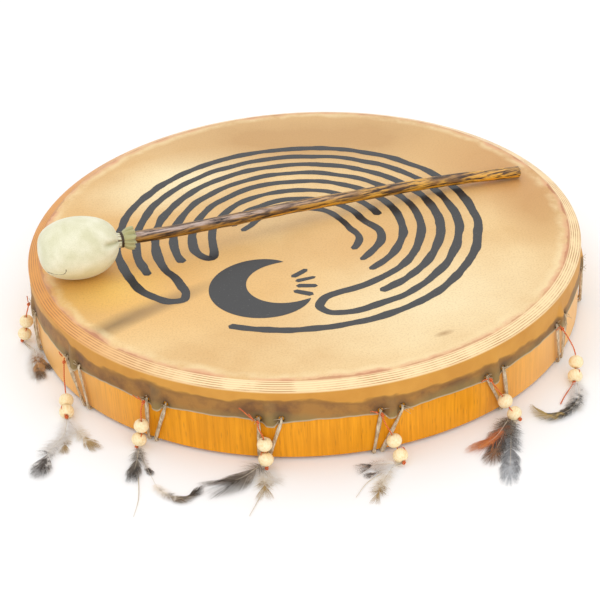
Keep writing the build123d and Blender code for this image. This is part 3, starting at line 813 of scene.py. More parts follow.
def moon_vert(share, side):
    """The crescent: an arc whose width grows from nothing to its fullest in the middle."""
    bearing = math.radians(MOON_START + MOON_SWEEP * share)
    fullness = 1.0 if side < 0 else 0.8
    reach = MOON_RADIUS + side * MOON_HALF_WIDTH * math.sin(math.pi * share) ** 0.8 * fullness
    return Vector((MOON_MIDDLE[0] + math.cos(bearing) * reach, MOON_MIDDLE[1] + math.sin(bearing) * reach,
                   PAINT_HEIGHT)) * MM


strip(design, MOON_STEPS, moon_vert)
for ray in range(RAY_COUNT):
    bearing = math.radians(RAY_FIRST - RAY_TURN * ray)
    heading = Vector((math.cos(bearing), math.sin(bearing)))
    foot = Vector(MOON_MIDDLE) + heading * RAY_FOOT
    ray_line = [foot + heading * step * RAY_POINT_STEP for step in range(RAY_POINTS)]
    stroke(design, ray_line, RAY_HALF_WIDTH, 20 + ray)
bmesh.ops.remove_doubles(design, verts=design.verts, dist=1e-6)
for face in design.faces:
    face.normal_update()
bmesh.ops.reverse_faces(design, faces=[face for face in design.faces if face.normal.z < 0])

# Black brushed paint: near black, smooth enough to mirror the tent as charcoal grey, with brush drag.
brushed_paint, tree, shader = finish_of("black brushed paint", IOR=1.5)
place = add_node(tree, "TexCoord").outputs["Object"]
# The coat is uneven in patches about 17 mm across, with finer drag inside them, and it has
# dust specks of about 1 mm.
drag = add_node(tree, "TexNoise", {"Vector": place, "Scale": 60.0, "Detail": 6.0, "Roughness": 0.6})
dust = add_node(tree, "TexNoise", {"Vector": place, "Scale": 900.0, "Detail": 1.0})
dusty = add_node(tree, "MapRange",
                 {"Value": dust.outputs["Fac"], "From Min": 0.70, "From Max": 0.80, "To Max": 0.5})
tone = add_node(tree, "Mix", {0: drag.outputs["Fac"], 6: linear("#161617"), 7: linear("#28282A")},
                data_type="RGBA")
specked = add_node(tree, "Mix", {0: dusty.outputs[0], 6: tone.outputs[2], 7: linear("#8A8880")},
                   data_type="RGBA")
tree.links.new(specked.outputs[2], shader.inputs["Base Color"])
smoothness = add_node(tree, "MapRange", {"Value": drag.outputs["Fac"], "To Min": 0.24, "To Max": 0.42})
tree.links.new(smoothness.outputs[0], shader.inputs["Roughness"])
raised = add_node(tree, "Bump", {"Height": drag.outputs["Fac"], "Strength": 0.12, "Distance": 0.0005})
tree.links.new(raised.outputs["Normal"], shader.inputs["Normal"])
make_piece(design, "painted_design", "drum", [brushed_paint])

# ---- Lacing
# One long rawhide thong. From each hole it drops down the wall, turns under the rim and runs
# across the back to the hand ring. It dried twisted and is narrowest where it enters a hole.
PAIR_HALF_ANGLE = 0.8
# Degrees that the lower ends of each pair have drifted sideways.
LEAN = [0.8, 0.0, 2.6, -2.8, -1.5, -1.7, 3.0, 0.5, -1.2, 1.9, -0.6, 2.2, -2.4, 0.4, 1.5, -1.0]
LACE_HALF_WIDTH = 1.6 * MM
LACE_HALF_THICKNESS = 1.0 * MM
FIBRE_RADIUS = 0.17 * MM
RING_HEIGHT = 5.2
RING_REACH = 43.6
HOLE_POINTS = 3
WALL_STEPS = 12
RIM_POINTS = 5
BACK_STEPS = 16
HOLE_FIBRES = 5
# Millimetres along the lace from one cross-section to the next, as its twist counts them.
LACE_STEP = 3.0

# Rawhide thong: pale beige grey, dry, with lengthwise creases.
thong, tree, shader = finish_of("rawhide thong", Roughness=0.6)
place = add_node(tree, "TexCoord").outputs["Object"]
stretched = add_node(tree, "Mapping", {"Vector": place, "Scale": (1.0, 1.0, 0.3)})
# Creases about 1.5 mm apart.
creases = add_node(tree, "TexNoise",
                   {"Vector": stretched.outputs[0], "Scale": 600.0, "Detail": 4.0, "Roughness": 0.7})
deep = add_node(tree, "MapRange", {"Value": creases.outputs["Fac"], "From Min": 0.38, "From Max": 0.66})
broad = add_node(tree, "TexNoise", {"Vector": place, "Scale": 60.0, "Detail": 2.0})
pale = add_node(tree, "Mix", {0: broad.outputs["Fac"], 6: linear("#D6BE98"), 7: linear("#EFE4CE")},
                data_type="RGBA")
tone = add_node(tree, "Mix", {0: deep.outputs[0], 6: linear("#A08560"), 7: pale.outputs[2]}, data_type="RGBA")
tree.links.new(tone.outputs[2], shader.inputs["Base Color"])
raised = add_node(tree, "Bump", {"Height": creases.outputs["Fac"], "Strength": 0.6, "Distance": 0.0006})
tree.links.new(raised.outputs["Normal"], shader.inputs["Normal"])

lacing = bmesh.new()
for station in range(STATIONS):
    for side in (-1, 1):
        shake = random.Random(100 * station + side)
        hole = station_azimuth(station) + side * HOLE_HALF_ANGLE
        rim = station_azimuth(station) + LEAN[station] + side * PAIR_HALF_ANGLE
        ring = station_azimuth(station) + side * STATION_STEP / 4
        centres = [at(hole, 228.9, 39.6), at(hole, 230.3, 38.9), at(hole, 230.9, 37.0)]
        for step in range(1, WALL_STEPS + 1):
            share = step / WALL_STEPS
            centres.append(at(hole + (rim - hole) * share, 231.0, 37.0 - 33.4 * share))
        centres += [at(rim, 230.6, 2.0), at(rim, 229.0, 1.35), at(rim, 226.0, 1.3), at(rim, 219.0, 1.3),
                    at(rim, 213.0, 1.3)]
        inner_end = at(ring, RING_REACH, RING_HEIGHT)
        start = centres[-1]
        centres += [start.lerp(inner_end, step / BACK_STEPS) for step in range(1, BACK_STEPS + 1)]
        outward = at(rim, 1 / MM, 0)
        sections = []
        twist_size, twist_rate = shake.uniform(0.5, 1.0), shake.uniform(90, 150)
        twist_start = shake.uniform(0, 6)
        rim_start = HOLE_POINTS + WALL_STEPS
        for index, centre in enumerate(centres):
            along = centres[min(index + 1, len(centres) - 1)] - centres[max(index - 1, 0)]
            facing = outward if index < rim_start else Vector((0, 0, -1))
            travelled = index * LACE_STEP * MM
            # Pressed under the rim, it can't twist far.
            freedom = 0.35 if rim_start <= index <= rim_start + RIM_POINTS else 1.0
            twist = math.sin(travelled * twist_rate + twist_start) * twist_size * freedom
            across = Matrix.Rotation(twist, 3, along.normalized()) @ along.cross(facing)
            narrow = 0.45 + 0.55 * min(1.0, index / 4)
            vary = 1 + 0.18 * noise.noise(centre * 90 + Vector((side, 0, 0)))
            sections.append(section(centre, along, across, LACE_HALF_WIDTH * narrow * vary,
                                    LACE_HALF_THICKNESS * narrow))
        join_in(lacing, drawn_out(sections))
        # Fibres torn from the hide at the hole.
        for _ in range(HOLE_FIBRES):
            root = at(hole + shake.uniform(-0.5, 0.5), 230.9, HOLE_HEIGHT + shake.uniform(-3.0, 2.5))
            sideways = Vector((0, 0, 1)).cross(outward).normalized() * shake.uniform(-1, 1)
            lean = sideways + Vector((0, 0, shake.uniform(-0.5, 1.0)))
            lean = (lean + outward * 0.35).normalized() * shake.uniform(2.5, 7.0) * MM
            droop = Vector((0, 0, -1)) * shake.uniform(0.0, 2.0) * MM
            hair = [section(root + lean * part / 4 + droop * (part / 4) ** 2, lean, outward, FIBRE_RADIUS,
                            FIBRE_RADIUS)
                    for part in range(5)]
            join_in(lacing, drawn_out(hair, sides=5))
make_piece(lacing, "lacing", "drum", [thong], ["wall_lacing", "rim_lacing", "back_lacing"])

# ---- Hand ring
# A steel wire ring wound close with the same thong, where the player's fingers go. The lacing
# is hitched round it, thirty-two turns in all.
RING_RADIUS = 38.0
RING_WIRE = 2.0
WRAP_THICKNESS = 1.3
WRAP_TURNS = 64
WRAP_COLUMNS = 512

# Galvanised steel wire: dull grey, faintly spangled.
steel, tree, shader = finish_of("galvanised steel wire", Metallic=1.0, Roughness=0.45)
place = add_node(tree, "TexCoord").outputs["Object"]
spangle = add_node(tree, "TexVoronoi", {"Vector": place, "Scale": 500.0})
tone = add_node(tree, "Mix", {0: spangle.outputs["Distance"], 6: linear("#B9BCBE"), 7: linear("#8F9396")},
                data_type="RGBA")
tree.links.new(tone.outputs[2], shader.inputs["Base Color"])
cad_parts["hand_ring"].data.materials.clear()
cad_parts["hand_ring"].data.materials.append(steel)
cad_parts["ring_hitches"].data.materials.clear()
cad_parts["ring_hitches"].data.materials.append(thong)

wrap = bmesh.new()
ring_side = Matrix.Translation((RING_RADIUS * MM, 0, RING_HEIGHT * MM))
bmesh.ops.create_circle(wrap, segments=18, radius=(RING_WIRE + WRAP_THICKNESS) * MM,
                        matrix=ring_side @ Matrix.Rotation(math.pi / 2, 4, "X"))
bmesh.ops.spin(wrap, geom=wrap.edges[:], cent=(0, 0, 0), axis=(0, 0, 1), angle=math.tau, steps=WRAP_COLUMNS,
               use_merge=True)
bmesh.ops.remove_doubles(wrap, verts=wrap.verts, dist=1e-7)
bmesh.ops.recalc_face_normals(wrap, faces=wrap.faces)
for vert in wrap.verts:
    azimuth = math.atan2(vert.co.y, vert.co.x)
    core = Vector((math.cos(azimuth) * RING_RADIUS, math.sin(azimuth) * RING_RADIUS, RING_HEIGHT)) * MM
    spoke = vert.co - core
    round_wire = math.atan2(spoke.z, spoke.xy.length * (1 if vert.co.xy.length > core.xy.length else -1))
    turn_share = (azimuth * WRAP_TURNS + round_wire) / math.tau % 1
    vert.co = core + spoke * (0.90 + 0.10 * math.sin(math.pi * turn_share) ** 0.5)
make_piece(wrap, "ring_wrap_turns", "drum", [thong], ["ring_wrap"])

# ---- Feathers
# Three small body feathers hang from each charm, laid one over another. Each has a tapering
# quill, a vane of hooked barbs that has split in places, and loose down near its root.
BARB_SPACING = 0.42
BARB_PARTS = 4
DOWN_PER_STEP = 3
BARB_HALF_WIDTH = 0.30 * MM
DOWN_HALF_WIDTH = 0.11 * MM
LOWEST_BARB = 0.25 * MM
# Radius of a stem at its root in millimetres, and how much of that it loses towards its tip.
QUILL_RADIUS, QUILL_THINNING = 0.28, 0.22
HACKLE_RADIUS, HACKLE_THINNING = 0.42, 0.25
# Height of each layer of feathers over the paper, at the root and at the tip, in millimetres.
LAYER_HEIGHTS = ((3.6, 2.2), (2.4, 1.4), (1.5, 0.8))
# For each charm, from the top feather down: its shaft from knot to tip and its width in
# millimetres, how much of it is down, and its colouring.
FEATHERS = {
    1: [([(-227, -62), (-222, -82), (-217, -103)], 10, 0.50, "bronze"),
        ([(-226, -62), (-218, -82), (-211, -92)], 6, 0.45, "bronze"),
        ([(-228, -62), (-226, -85), (-220, -106)], 12, 0.92, "white")],
    2: [([(-190, -165), (-190, -186), (-200, -204), (-205, -229)], 15, 0.68, "dark tipped"),
        ([(-190, -165), (-179, -184), (-168, -199)], 12, 0.66, "tan tipped"),
        ([(-190, -165), (-190, -188), (-189, -202)], 9, 0.80, "tan tipped")],
    3: [([(-132, -208), (-133, -224), (-135, -240)], 11, 0.42, "dark"),
        ([(-119, -252), (-110, -264), (-98, -271), (-90, -265), (-85, -258)], 8, 0.40, "dark curved"),
        ([(-131, -209), (-127, -226), (-122, -236)], 6, 0.60, "dark tipped")],
    4: [([(-40, -236), (-49, -246), (-58, -252), (-66, -254)], 22, 0.16, "dark"),
        ([(-39, -235), (-38, -253), (-38, -264)], 14, 0.80, "tan tipped"),
        ([(-38, -235), (-32, -247), (-30, -256)], 15, 0.95, "white")],
    5: [([(58, -243), (45, -241), (37, -244)], 11, 0.68, "dark tipped"),
        ([(58, -243), (48, -262), (43, -278)], 12, 0.86, "tan tipped"),
        ([(58, -243), (47, -248), (39, -252)], 7, 0.66, "dark tipped")],
    6: [([(149, -194), (136, -217), (122, -228)], 15, 0.30, "rust"),
        ([(149, -194), (139, -220), (130, -240)], 14, 0.42, "brown black"),
        ([(150, -197), (144, -240), (140, -264)], 15, 0.48, "grey")],
    7: [([(207, -150), (206, -172), (196, -188), (182, -194), (173, -188), (170, -181)], 10, 0.50, "ochre"),
        ([(207, -150), (209, -162), (200, -185)], 13, 0.95, "white"),
        ([(205, -152), (201, -174), (190, -189)], 8, 0.70, "dark tipped")],
}
# Each colouring: its root, its middle and its tip.
plumages = {}
for colouring, root_code, middle_code, tip_code in (("white", "#FAF8F6", "#F1EEEA", "#E2DDD6"),
                                                    ("tan tipped", "#F6F3F0", "#E6DCCB", "#A38654"),
                                                    ("dark tipped", "#F4F1EE", "#DCD5CE", "#3E342D"),
                                                    ("dark", "#8E857A", "#5A5146", "#2E2822"),
                                                    ("dark curved", "#F0E6D8", "#6E5C48", "#2A231E"),
                                                    ("bronze", "#F1EDE8", "#B08048", "#5E4426"),
                                                    ("rust", "#6C5E50", "#B4602A", "#C87838"),
                                                    ("brown black", "#A49A8C", "#3A322B", "#7A5436"),
                                                    ("grey", "#5E574F", "#76777A", "#A8ABAF"),
                                                    ("ochre", "#F0EDEA", "#2E2A24", "#A88C48")):
    # Barbed vane: soft and matt, mostly paler at the root and marked towards the tip, and mottled
    # across its barbs.
    vane, tree, shader = finish_of(f"{colouring} plumage", Roughness=0.75, Sheen_Weight=0.2)
    along = add_node(tree, "Attribute", attribute_name="along").outputs["Fac"]
    place = add_node(tree, "TexCoord").outputs["Object"]
    # Mottling about 4 mm across.
    mottle = add_node(tree, "TexNoise", {"Vector": place, "Scale": 260.0, "Detail": 3.0})
    uneven = add_node(tree, "MapRange", {"Value": mottle.outputs["Fac"], "From Min": 0.3, "From Max": 0.7,
                                         "To Min": -0.16, "To Max": 0.16})
    graded = add_node(tree, "Math", {0: along, 1: uneven.outputs[0]}, operation="ADD").outputs[0]
    lower = add_node(tree, "MapRange", {"Value": graded, "From Min": 0.18, "From Max": 0.45})
    upper = add_node(tree, "MapRange", {"Value": graded, "From Min": 0.58, "From Max": 0.80})
    tone = add_node(tree, "Mix", {0: lower.outputs[0], 6: linear(root_code), 7: linear(middle_code)},
                    data_type="RGBA")
    tone = add_node(tree, "Mix", {0: upper.outputs[0], 6: tone.outputs[2], 7: linear(tip_code)},
                    data_type="RGBA")
    tree.links.new(tone.outputs[2], shader.inputs["Base Color"])
    plumages[colouring] = vane

# Quill: horn, pale and glossy, with browner streaks about 3 mm apart.
quill_horn, tree, shader = finish_of("quill horn", Roughness=0.35)
place = add_node(tree, "TexCoord").outputs["Object"]
streaks = add_node(tree, "TexNoise", {"Vector": place, "Scale": 300.0})
tone = add_node(tree, "Mix", {0: streaks.outputs["Fac"], 6: linear("#E6DECF"), 7: linear("#B09C7A")},
                data_type="RGBA")
tree.links.new(tone.outputs[2], shader.inputs["Base Color"])


def stem_of(points, heading, radius, thinning):
    """A fine round stem through a row of points, thinner towards its tip."""
    rows = []
    for index, point in enumerate(points):
        stem_radius = (radius - thinning * index / len(points)) * MM
        rows.append(section(point, heading, Vector((0, 0, 1)), stem_radius, stem_radius))
    return drawn_out(rows, sides=6)


for number, feathers in FEATHERS.items():
    knot_place = at(*THREAD_ROUTES[number][-1])
    for layer, (shaft_points, width, down_share, colouring) in enumerate(feathers):
        shake = random.Random(7 * number + layer)
        root_height, tip_height = LAYER_HEIGHTS[layer]
        shaft = eased([Vector((*point, 0)) for point in shaft_points], 1.0, 40)
        shaft = [Vector((point.x, point.y,
                         root_height + (tip_height - root_height) * index / (len(shaft) - 1))) * MM
                 for index, point in enumerate(shaft)]
        shaft_length = sum((after - before).length for before, after in zip(shaft, shaft[1:]))
        feather = bmesh.new()
        along_share = feather.verts.layers.float.new("along")
        count = int(shaft_length / MM / BARB_SPACING)
        clump_turn, clump_start, clump_count = 0.0, 0, 9
        for index in range(count):
            share = (index + 0.5) / count
            if index - clump_start >= clump_count:
                clump_start, clump_count, clump_turn = index, shake.randint(6, 13), shake.uniform(-0.13, 0.13)
            in_clump = (index - clump_start) / clump_count - 0.5
            where = share * (len(shaft) - 1)
            before, after = shaft[int(where)], shaft[min(int(where) + 1, len(shaft) - 1)]
            start = before.lerp(after, where - int(where))
            toward = (after - before if after != before else shaft[-1] - shaft[-2]).normalized()
            beside = Vector((-toward.y, toward.x, 0)).normalized()
            fullness = min(1.0, share / 0.10) ** 0.5 * (1 - 0.62 * max(0.0, (share - 0.70) / 0.30) ** 2)
            downy = share < down_share
            for side in (-1, 1):
                for _ in range(DOWN_PER_STEP if downy else 1):
                    if downy:
                        sweep = math.radians(shake.uniform(22, 88))
                        reach = width * MM * 0.62 * (0.55 + 0.45 * fullness) * shake.uniform(0.6, 1.25)
                        lift, half = shake.uniform(-0.15, 0.5), DOWN_HALF_WIDTH
                        wave = shake.uniform(-0.14, 0.14)
                    else:
                        open_angle = math.radians(44 - 24 * share)
                        # The last barbs close up to make the tip.
                        closing = 1 - 0.85 * max(0.0, (share - 0.80) / 0.20)
                        sweep = (open_angle + clump_turn - in_clump * 0.16) * closing
                        reach = width / 2 * MM * fullness / math.sin(open_angle) * shake.uniform(0.93, 1.05)
                        reach *= 1 - 0.16 * abs(in_clump)
                        if colouring == "rust" and side > 0:
                            # Its upper web is worn: one barb in four is whole, the rest are broken short.
                            reach *= 1.0 if index % 4 == 0 else 0.45
                        lift, half, wave = 0.03 * side + shake.uniform(-0.02, 0.02), BARB_HALF_WIDTH, 0.0
                    heading = toward * math.cos(sweep) + beside * side * math.sin(sweep)
                    heading = heading + Vector((0, 0, lift))
                    curl = (toward * 0.22 - Vector((0, 0, lift * 0.9))) * reach

                    def barb_vert(part, edge_side):
                        taper = (1 - part) ** 0.5 + 0.08 if downy else min(1.0, (1 - part) * 3.5) + 0.05
                        point = start + heading * reach * part + curl * part * part
                        aside = edge_side * half * taper + math.sin(part * 7) * wave * reach
                        point = point + toward * aside
                        point.z = max(point.z, LOWEST_BARB)
                        return point

                    for vert in strip(feather, BARB_PARTS, barb_vert):
                        vert[along_share] = share
        stands_for = [f"charm_{number}_feather_{'ab'[layer]}"] if layer < 2 else []
        make_piece(feather, f"feather_{number}_{'abc'[layer]}", f"charm_{number}",
                   [plumages[colouring]], stands_for)
        line = [knot_place, *shaft[4:int(len(shaft) * 0.8):3]]
        quill = stem_of(line, shaft[-1] - shaft[0], QUILL_RADIUS, QUILL_THINNING)
        make_piece(quill, f"quill_{number}_{'abc'[layer]}", f"charm_{number}", [quill_horn])

# Three charms also carry one bare hackle stem, fine as wire, that lost its barbs: the way it
# lies, in millimetres.
HACKLE_STEMS = {
    3: [(-131, -240), (-130, -253), (-129, -267), (-132, -286)],
    4: [(-38, -262), (-43, -276), (-49, -292)],
    5: [(48, -251), (37, -259), (28, -277)],
}
for number, stem_points in HACKLE_STEMS.items():
    stem = eased([Vector((*point, 1.0)) * MM for point in stem_points], 2 * MM, 20)
    hackle = stem_of(stem, stem[-1] - stem[0], HACKLE_RADIUS, HACKLE_THINNING)
    make_piece(hackle, f"hackle_stem_{number}", f"charm_{number}", [quill_horn])

# ---- Beater stick
# A hardwood branch left in its bark and scorched. It is bent a little, and its far end is cut
# square with a small chamfer.
STICK_ROUTE = [(-181.0, -55.0, 92.8), (-98.0, -25.4, 86.0), (0.0, 16.5, 79.8), (122.0, 57.0, 74.2),
               (190.0, 70.5, 71.7)]
STICK_RADIUS = 5.1
BARK_ROOM = 0.15
STICK_SIDES = 32
STICK_START = -10.0
STICK_STEP = 2.5
CHAMFER = 1.2

stick_points = [Vector(point) * MM for point in STICK_ROUTE]
stick_along = (stick_points[1] - stick_points[0]).normalized()
stick_points[0] = stick_points[0] + stick_along * STICK_START * MM
centres = eased(stick_points, STICK_STEP * MM, 60)
sections = []
for index, centre in enumerate(centres):
    along = centres[min(index + 1, len(centres) - 1)] - centres[max(index - 1, 0)]
    to_end = (len(centres) - 1 - index) * STICK_STEP
    radius_here = (STICK_RADIUS - BARK_ROOM - max(0.0, CHAMFER - to_end)) * MM
    sections.append(section(centre, along, Vector((0, 0, 1)), radius_here, radius_here))
last_run = centres[-1] - centres[-2]
full_radius = (STICK_RADIUS - BARK_ROOM) * MM
sections.insert(-1, section(centres[-1] - last_run.normalized() * CHAMFER * MM, last_run, Vector((0, 0, 1)),
                            full_radius, full_radius))
stick = drawn_out(sections, sides=STICK_SIDES)
stick.normal_update()
# Each point's angle round the stick, 0 at the front and a half on top, which places the painted highlight
# strip and the gold strip.
round_share = stick.verts.layers.float.new("round")
toward_front = stick_along.cross(Vector((0, 0, 1))).normalized()
for vert in stick.verts:
    vert[round_share] = math.atan2(vert.normal.z, vert.normal.dot(toward_front)) / math.pi
lengthwise = Matrix.Rotation(-math.atan2(stick_along.y, stick_along.x), 3, "Z")
for vert in stick.verts:
    # The cut end stays smooth.
    if (centres[-1] - vert.co).length < STICK_RADIUS * MM * 1.2:
        continue
    drawn = lengthwise @ vert.co
    relief = noise.noise(Vector((drawn.x * 40, drawn.y * 420, drawn.z * 420))) * 0.30
    relief += noise.noise(Vector((drawn.x * 130, drawn.y * 160, drawn.z * 160))) * 0.25
    vert.co += vert.normal * relief * MM
# The two end faces are cut wood.
for face in stick.faces:
    if len(face.verts) > 4:
        face.material_index = 1

# Scorched bark: near black and brown, rubbed through to ochre gold in streaks, more towards the far end. A
# pale silver strip along its upper side is a painted highlight, and a gold strip runs just under its front.
bark, tree, shader = finish_of("scorched bark", Roughness=0.34)
place = add_node(tree, "TexCoord").outputs["Object"]
drawn = add_node(tree, "Mapping",
                 {"Vector": place, "Rotation": (0, 0, math.radians(18.7)), "Scale": (12.0, 1.0, 1.0)},
                 vector_type="TEXTURE")
# Streaks about 1.5 mm wide and twelve times as long.
streaks = add_node(tree, "TexNoise",
                   {"Vector": drawn.outputs[0], "Scale": 600.0, "Detail": 5.0, "Roughness": 0.62})
fine = add_node(tree, "MapRange", {"Value": streaks.outputs["Fac"], "From Min": 0.36, "From Max": 0.66})
parts = add_node(tree, "SeparateXYZ", {0: place})
toward_end = add_node(tree, "MapRange", {"Value": parts.outputs["X"], "From Min": -0.06, "From Max": 0.10})
base = add_node(tree, "Mix", {0: fine.outputs[0], 6: linear("#20120A"), 7: linear("#8A5C28")},
                data_type="RGBA")
patches = add_node(tree, "TexNoise", {"Vector": place, "Scale": 35.0, "Detail": 3.0})
worn = add_node(tree, "MapRange", {"Value": streaks.outputs["Fac"], "From Min": 0.46, "From Max": 0.56})
worn_there = add_node(tree, "MapRange", {"Value": patches.outputs["Fac"], "From Min": 0.34, "From Max": 0.52})
worn_share = add_node(tree, "Math", {0: worn.outputs[0], 1: worn_there.outputs[0]}, operation="MULTIPLY")
by_end = add_node(tree, "MapRange", {"Value": toward_end.outputs[0], "To Min": 0.25, "To Max": 1.0})
ochre_share = add_node(tree, "Math", {0: worn_share.outputs[0], 1: by_end.outputs[0]}, operation="MULTIPLY")
tone = add_node(tree, "Mix", {0: ochre_share.outputs[0], 6: base.outputs[2], 7: linear("#E8AC3A")},
                data_type="RGBA")
round_it = add_node(tree, "Attribute", attribute_name="round")
# The silver strip on the upper front is a painted highlight, and the gold one lies just under the front. Each
# row: middle and width of the strip, where it starts and ends along the stick, colour and strength.
for middle, width, start, end, code, strength in ((0.32, 0.17, 0.06, -0.08, "#C0AAA0", 0.95),
                                                  (-0.13, 0.08, -0.08, 0.02, "#EAA428", 0.95)):
    off_middle = add_node(tree, "Math", {0: round_it.outputs["Fac"], 1: middle}, operation="SUBTRACT")
    off_middle = add_node(tree, "Math", {0: off_middle.outputs[0]}, operation="ABSOLUTE")
    there = add_node(tree, "MapRange",
                     {"Value": off_middle.outputs[0], "From Min": width, "From Max": width * 0.4,
                      "To Max": strength})
    along_it = add_node(tree, "MapRange",
                        {"Value": parts.outputs["X"], "From Min": start, "From Max": end, "To Min": 0.15})
    both = add_node(tree, "Math", {0: there.outputs[0], 1: along_it.outputs[0]}, operation="MULTIPLY")
    streaky = add_node(tree, "Math", {0: both.outputs[0], 1: fine.outputs[0]}, operation="MULTIPLY")
    streaky = add_node(tree, "Math", {0: streaky.outputs[0], 1: 1.5}, operation="MULTIPLY", use_clamp=True)
    tone = add_node(tree, "Mix", {0: streaky.outputs[0], 6: tone.outputs[2], 7: linear(code)},
                    data_type="RGBA")
tree.links.new(tone.outputs[2], shader.inputs["Base Color"])
raised = add_node(tree, "Bump", {"Height": streaks.outputs["Fac"], "Strength": 0.9, "Distance": 0.0007})
tree.links.new(raised.outputs["Normal"], shader.inputs["Normal"])

# Cut end grain: pale tan, dry, with darker pores about 1 mm apart.
end_grain, tree, shader = finish_of("cut end grain", Roughness=0.7)
place = add_node(tree, "TexCoord").outputs["Object"]
end_pores = add_node(tree, "TexNoise", {"Vector": place, "Scale": 900.0, "Detail": 2.0})
tone = add_node(tree, "Mix", {0: end_pores.outputs["Fac"], 6: linear("#B98F5A"), 7: linear("#E2C08C")},
                data_type="RGBA")
tree.links.new(tone.outputs[2], shader.inputs["Base Color"])
stick_piece = make_piece(stick, "stick", "beater", [bark, end_grain], ["beater_stick"])
stick_piece.data.set_sharp_from_angle(angle=math.radians(50))

# ---- Beater head
# Wool stuffing inside a bag of soft suede, gathered over the stick and bound with two turns
# of sinew. The spare suede beyond the binding flares out as a ruffled collar.
BALL_LENGTH = 33.0
BALL_RADIUS = 26.5
NECK_RADIUS = 6.2
NECK_START = 33.4
TIE_PLACE = 35.7
NECK_END = 37.2
FRILL_END = 46.5
FRILL_RADIUS = 8.4
TIE_TURNS = 2
TIE_RADIUS = 0.5
FOLDS = 11
TUCK_ANGLE = 159.0
TUCK_DEPTH = 2.4
GATHER_START = 8.0
# How far behind its middle the bag starts to be a little flattened towards its closed end.
FLATTENED_FROM = 12
BAG_STEPS = 46
BAG_COLUMNS = 120
SUEDE_THICKNESS = 0.8 * MM
WAD_INSET = 6
TIE_STEPS = 24

stick_up = (Vector((0, 0, 1)) - stick_along * stick_along.z).normalized()
beater_place = Matrix((stick_along, stick_up.cross(stick_along), stick_up)).transposed().to_4x4()
beater_place = Matrix.Translation(Vector(STICK_ROUTE[0]) * MM) @ beater_place


def fold(turned, reach):
    """Depth of the gathers round the neck, from 0 in a crease to 1 on a fold."""
    uneven = noise.noise(Vector((math.cos(turned) * 1.3, math.sin(turned) * 1.3, reach * 0.02))) * 1.4
    return abs(math.sin(turned * FOLDS / 2 + uneven))


cover = bmesh.new()
gather_shade_share = cover.verts.layers.float.new("gathered")
profile = [cover.verts.new((-BALL_LENGTH * MM, 0, 0))]
for step in range(1, BAG_STEPS - 1):
    # A blunt sack: fuller than an egg at its closed end and at its shoulder.
    angle = math.pi * (1 - step / BAG_STEPS)
    blunt = 0.66 if math.cos(angle) < 0 else 0.80
    along, reach = math.cos(angle) * BALL_LENGTH, math.sin(angle) ** blunt * BALL_RADIUS
    profile.append(cover.verts.new(Vector((along, 0, max(reach, NECK_RADIUS))) * MM))
for along, radius_here in ((NECK_START + 0.4, 6.4), (TIE_PLACE, 5.9), (NECK_END, 6.1), (38.4, 6.9),
                           (40.0, 7.6), (42.0, 8.1), (44.0, 8.4), (FRILL_END, FRILL_RADIUS)):
    profile.append(cover.verts.new(Vector((along, 0, radius_here)) * MM))
outline = [cover.edges.new(pair) for pair in zip(profile, profile[1:])]
bmesh.ops.spin(cover, geom=outline, cent=(0, 0, 0), axis=(1, 0, 0), angle=math.tau, steps=BAG_COLUMNS,
               use_merge=True)
bmesh.ops.remove_doubles(cover, verts=cover.verts, dist=1e-6)
bmesh.ops.recalc_face_normals(cover, faces=cover.faces)
for vert in cover.verts:
    along, turned = vert.co.x / MM, math.atan2(vert.co.z, vert.co.y)
    reach = math.hypot(vert.co.y, vert.co.z) / MM
    if reach < 0.01:
        continue
    gathered = min(1.0, max(0.0, (along - GATHER_START) / (NECK_START - GATHER_START))) ** 2.2
    lump = noise.noise(Vector((along * 0.045, math.cos(turned) * 1.2, math.sin(turned) * 1.2))) * 0.8
    if along < NECK_END:
        crease = 1 - fold(turned, along)
        reach += lump * (1 - gathered) - crease ** 1.5 * 2.6 * gathered * min(1.0, reach / 13)
        # Fuller below, where the stuffing has settled, and flatter on top.
        reach *= 0.955 - 0.045 * math.sin(turned)
        # One deep tuck runs into the binding on the near side.
        in_tuck = hump(math.degrees(turned) - TUCK_ANGLE, 6.5) * flat_hump(along - 26, 5, 6)
        reach -= TUCK_DEPTH * in_tuck
        # The tuck is marked for painted shade in its crease.
        vert[gather_shade_share] = in_tuck * 0.8
    else:
        # The collar is marked for painted shade among its folds.
        vert[gather_shade_share] = 1.0
        flare = min(1.0, (along - NECK_END) / (FRILL_END - NECK_END) * 1.8)
        reach += flare * 1.7 * (fold(turned, along) * 2 - 1.2)
        along += flare * 1.9 * noise.noise(Vector((math.cos(turned) * 2.5, math.sin(turned) * 2.5, 7)))
    if along < -FLATTENED_FROM:
        along = -FLATTENED_FROM + (along + FLATTENED_FROM) * 0.93
    vert.co = Vector((along, math.cos(turned) * reach, math.sin(turned) * reach)) * MM
bmesh.ops.transform(cover, matrix=beater_place, verts=cover.verts)
# The bag is pressed flat where it rests on the head.
REST_HEIGHT = (HEAD_TOP + 0.25) * MM
for vert in cover.verts:
    vert.co.z = max(vert.co.z, REST_HEIGHT + 0.05 * (vert.co.z - REST_HEIGHT))
bmesh.ops.smooth_vert(cover, verts=cover.verts, factor=0.35, use_axis_x=True, use_axis_y=True,
                      use_axis_z=True)

# Suede: pale sage, matt and velvety, with soft rubbed patches and a short nap.
suede, tree, shader = finish_of("sage suede", Roughness=0.88, Sheen_Weight=0.35, Sheen_Roughness=0.5)
place = add_node(tree, "TexCoord").outputs["Object"]
rubbed = add_node(tree, "TexNoise", {"Vector": place, "Scale": 70.0, "Detail": 4.0})
rubbed_share = add_node(tree, "MapRange",
                        {"Value": rubbed.outputs["Fac"], "From Min": 0.34, "From Max": 0.66})
tone = add_node(tree, "Mix", {0: rubbed_share.outputs[0], 6: linear("#DCD9B6"), 7: linear("#EFECD2")},
                data_type="RGBA")
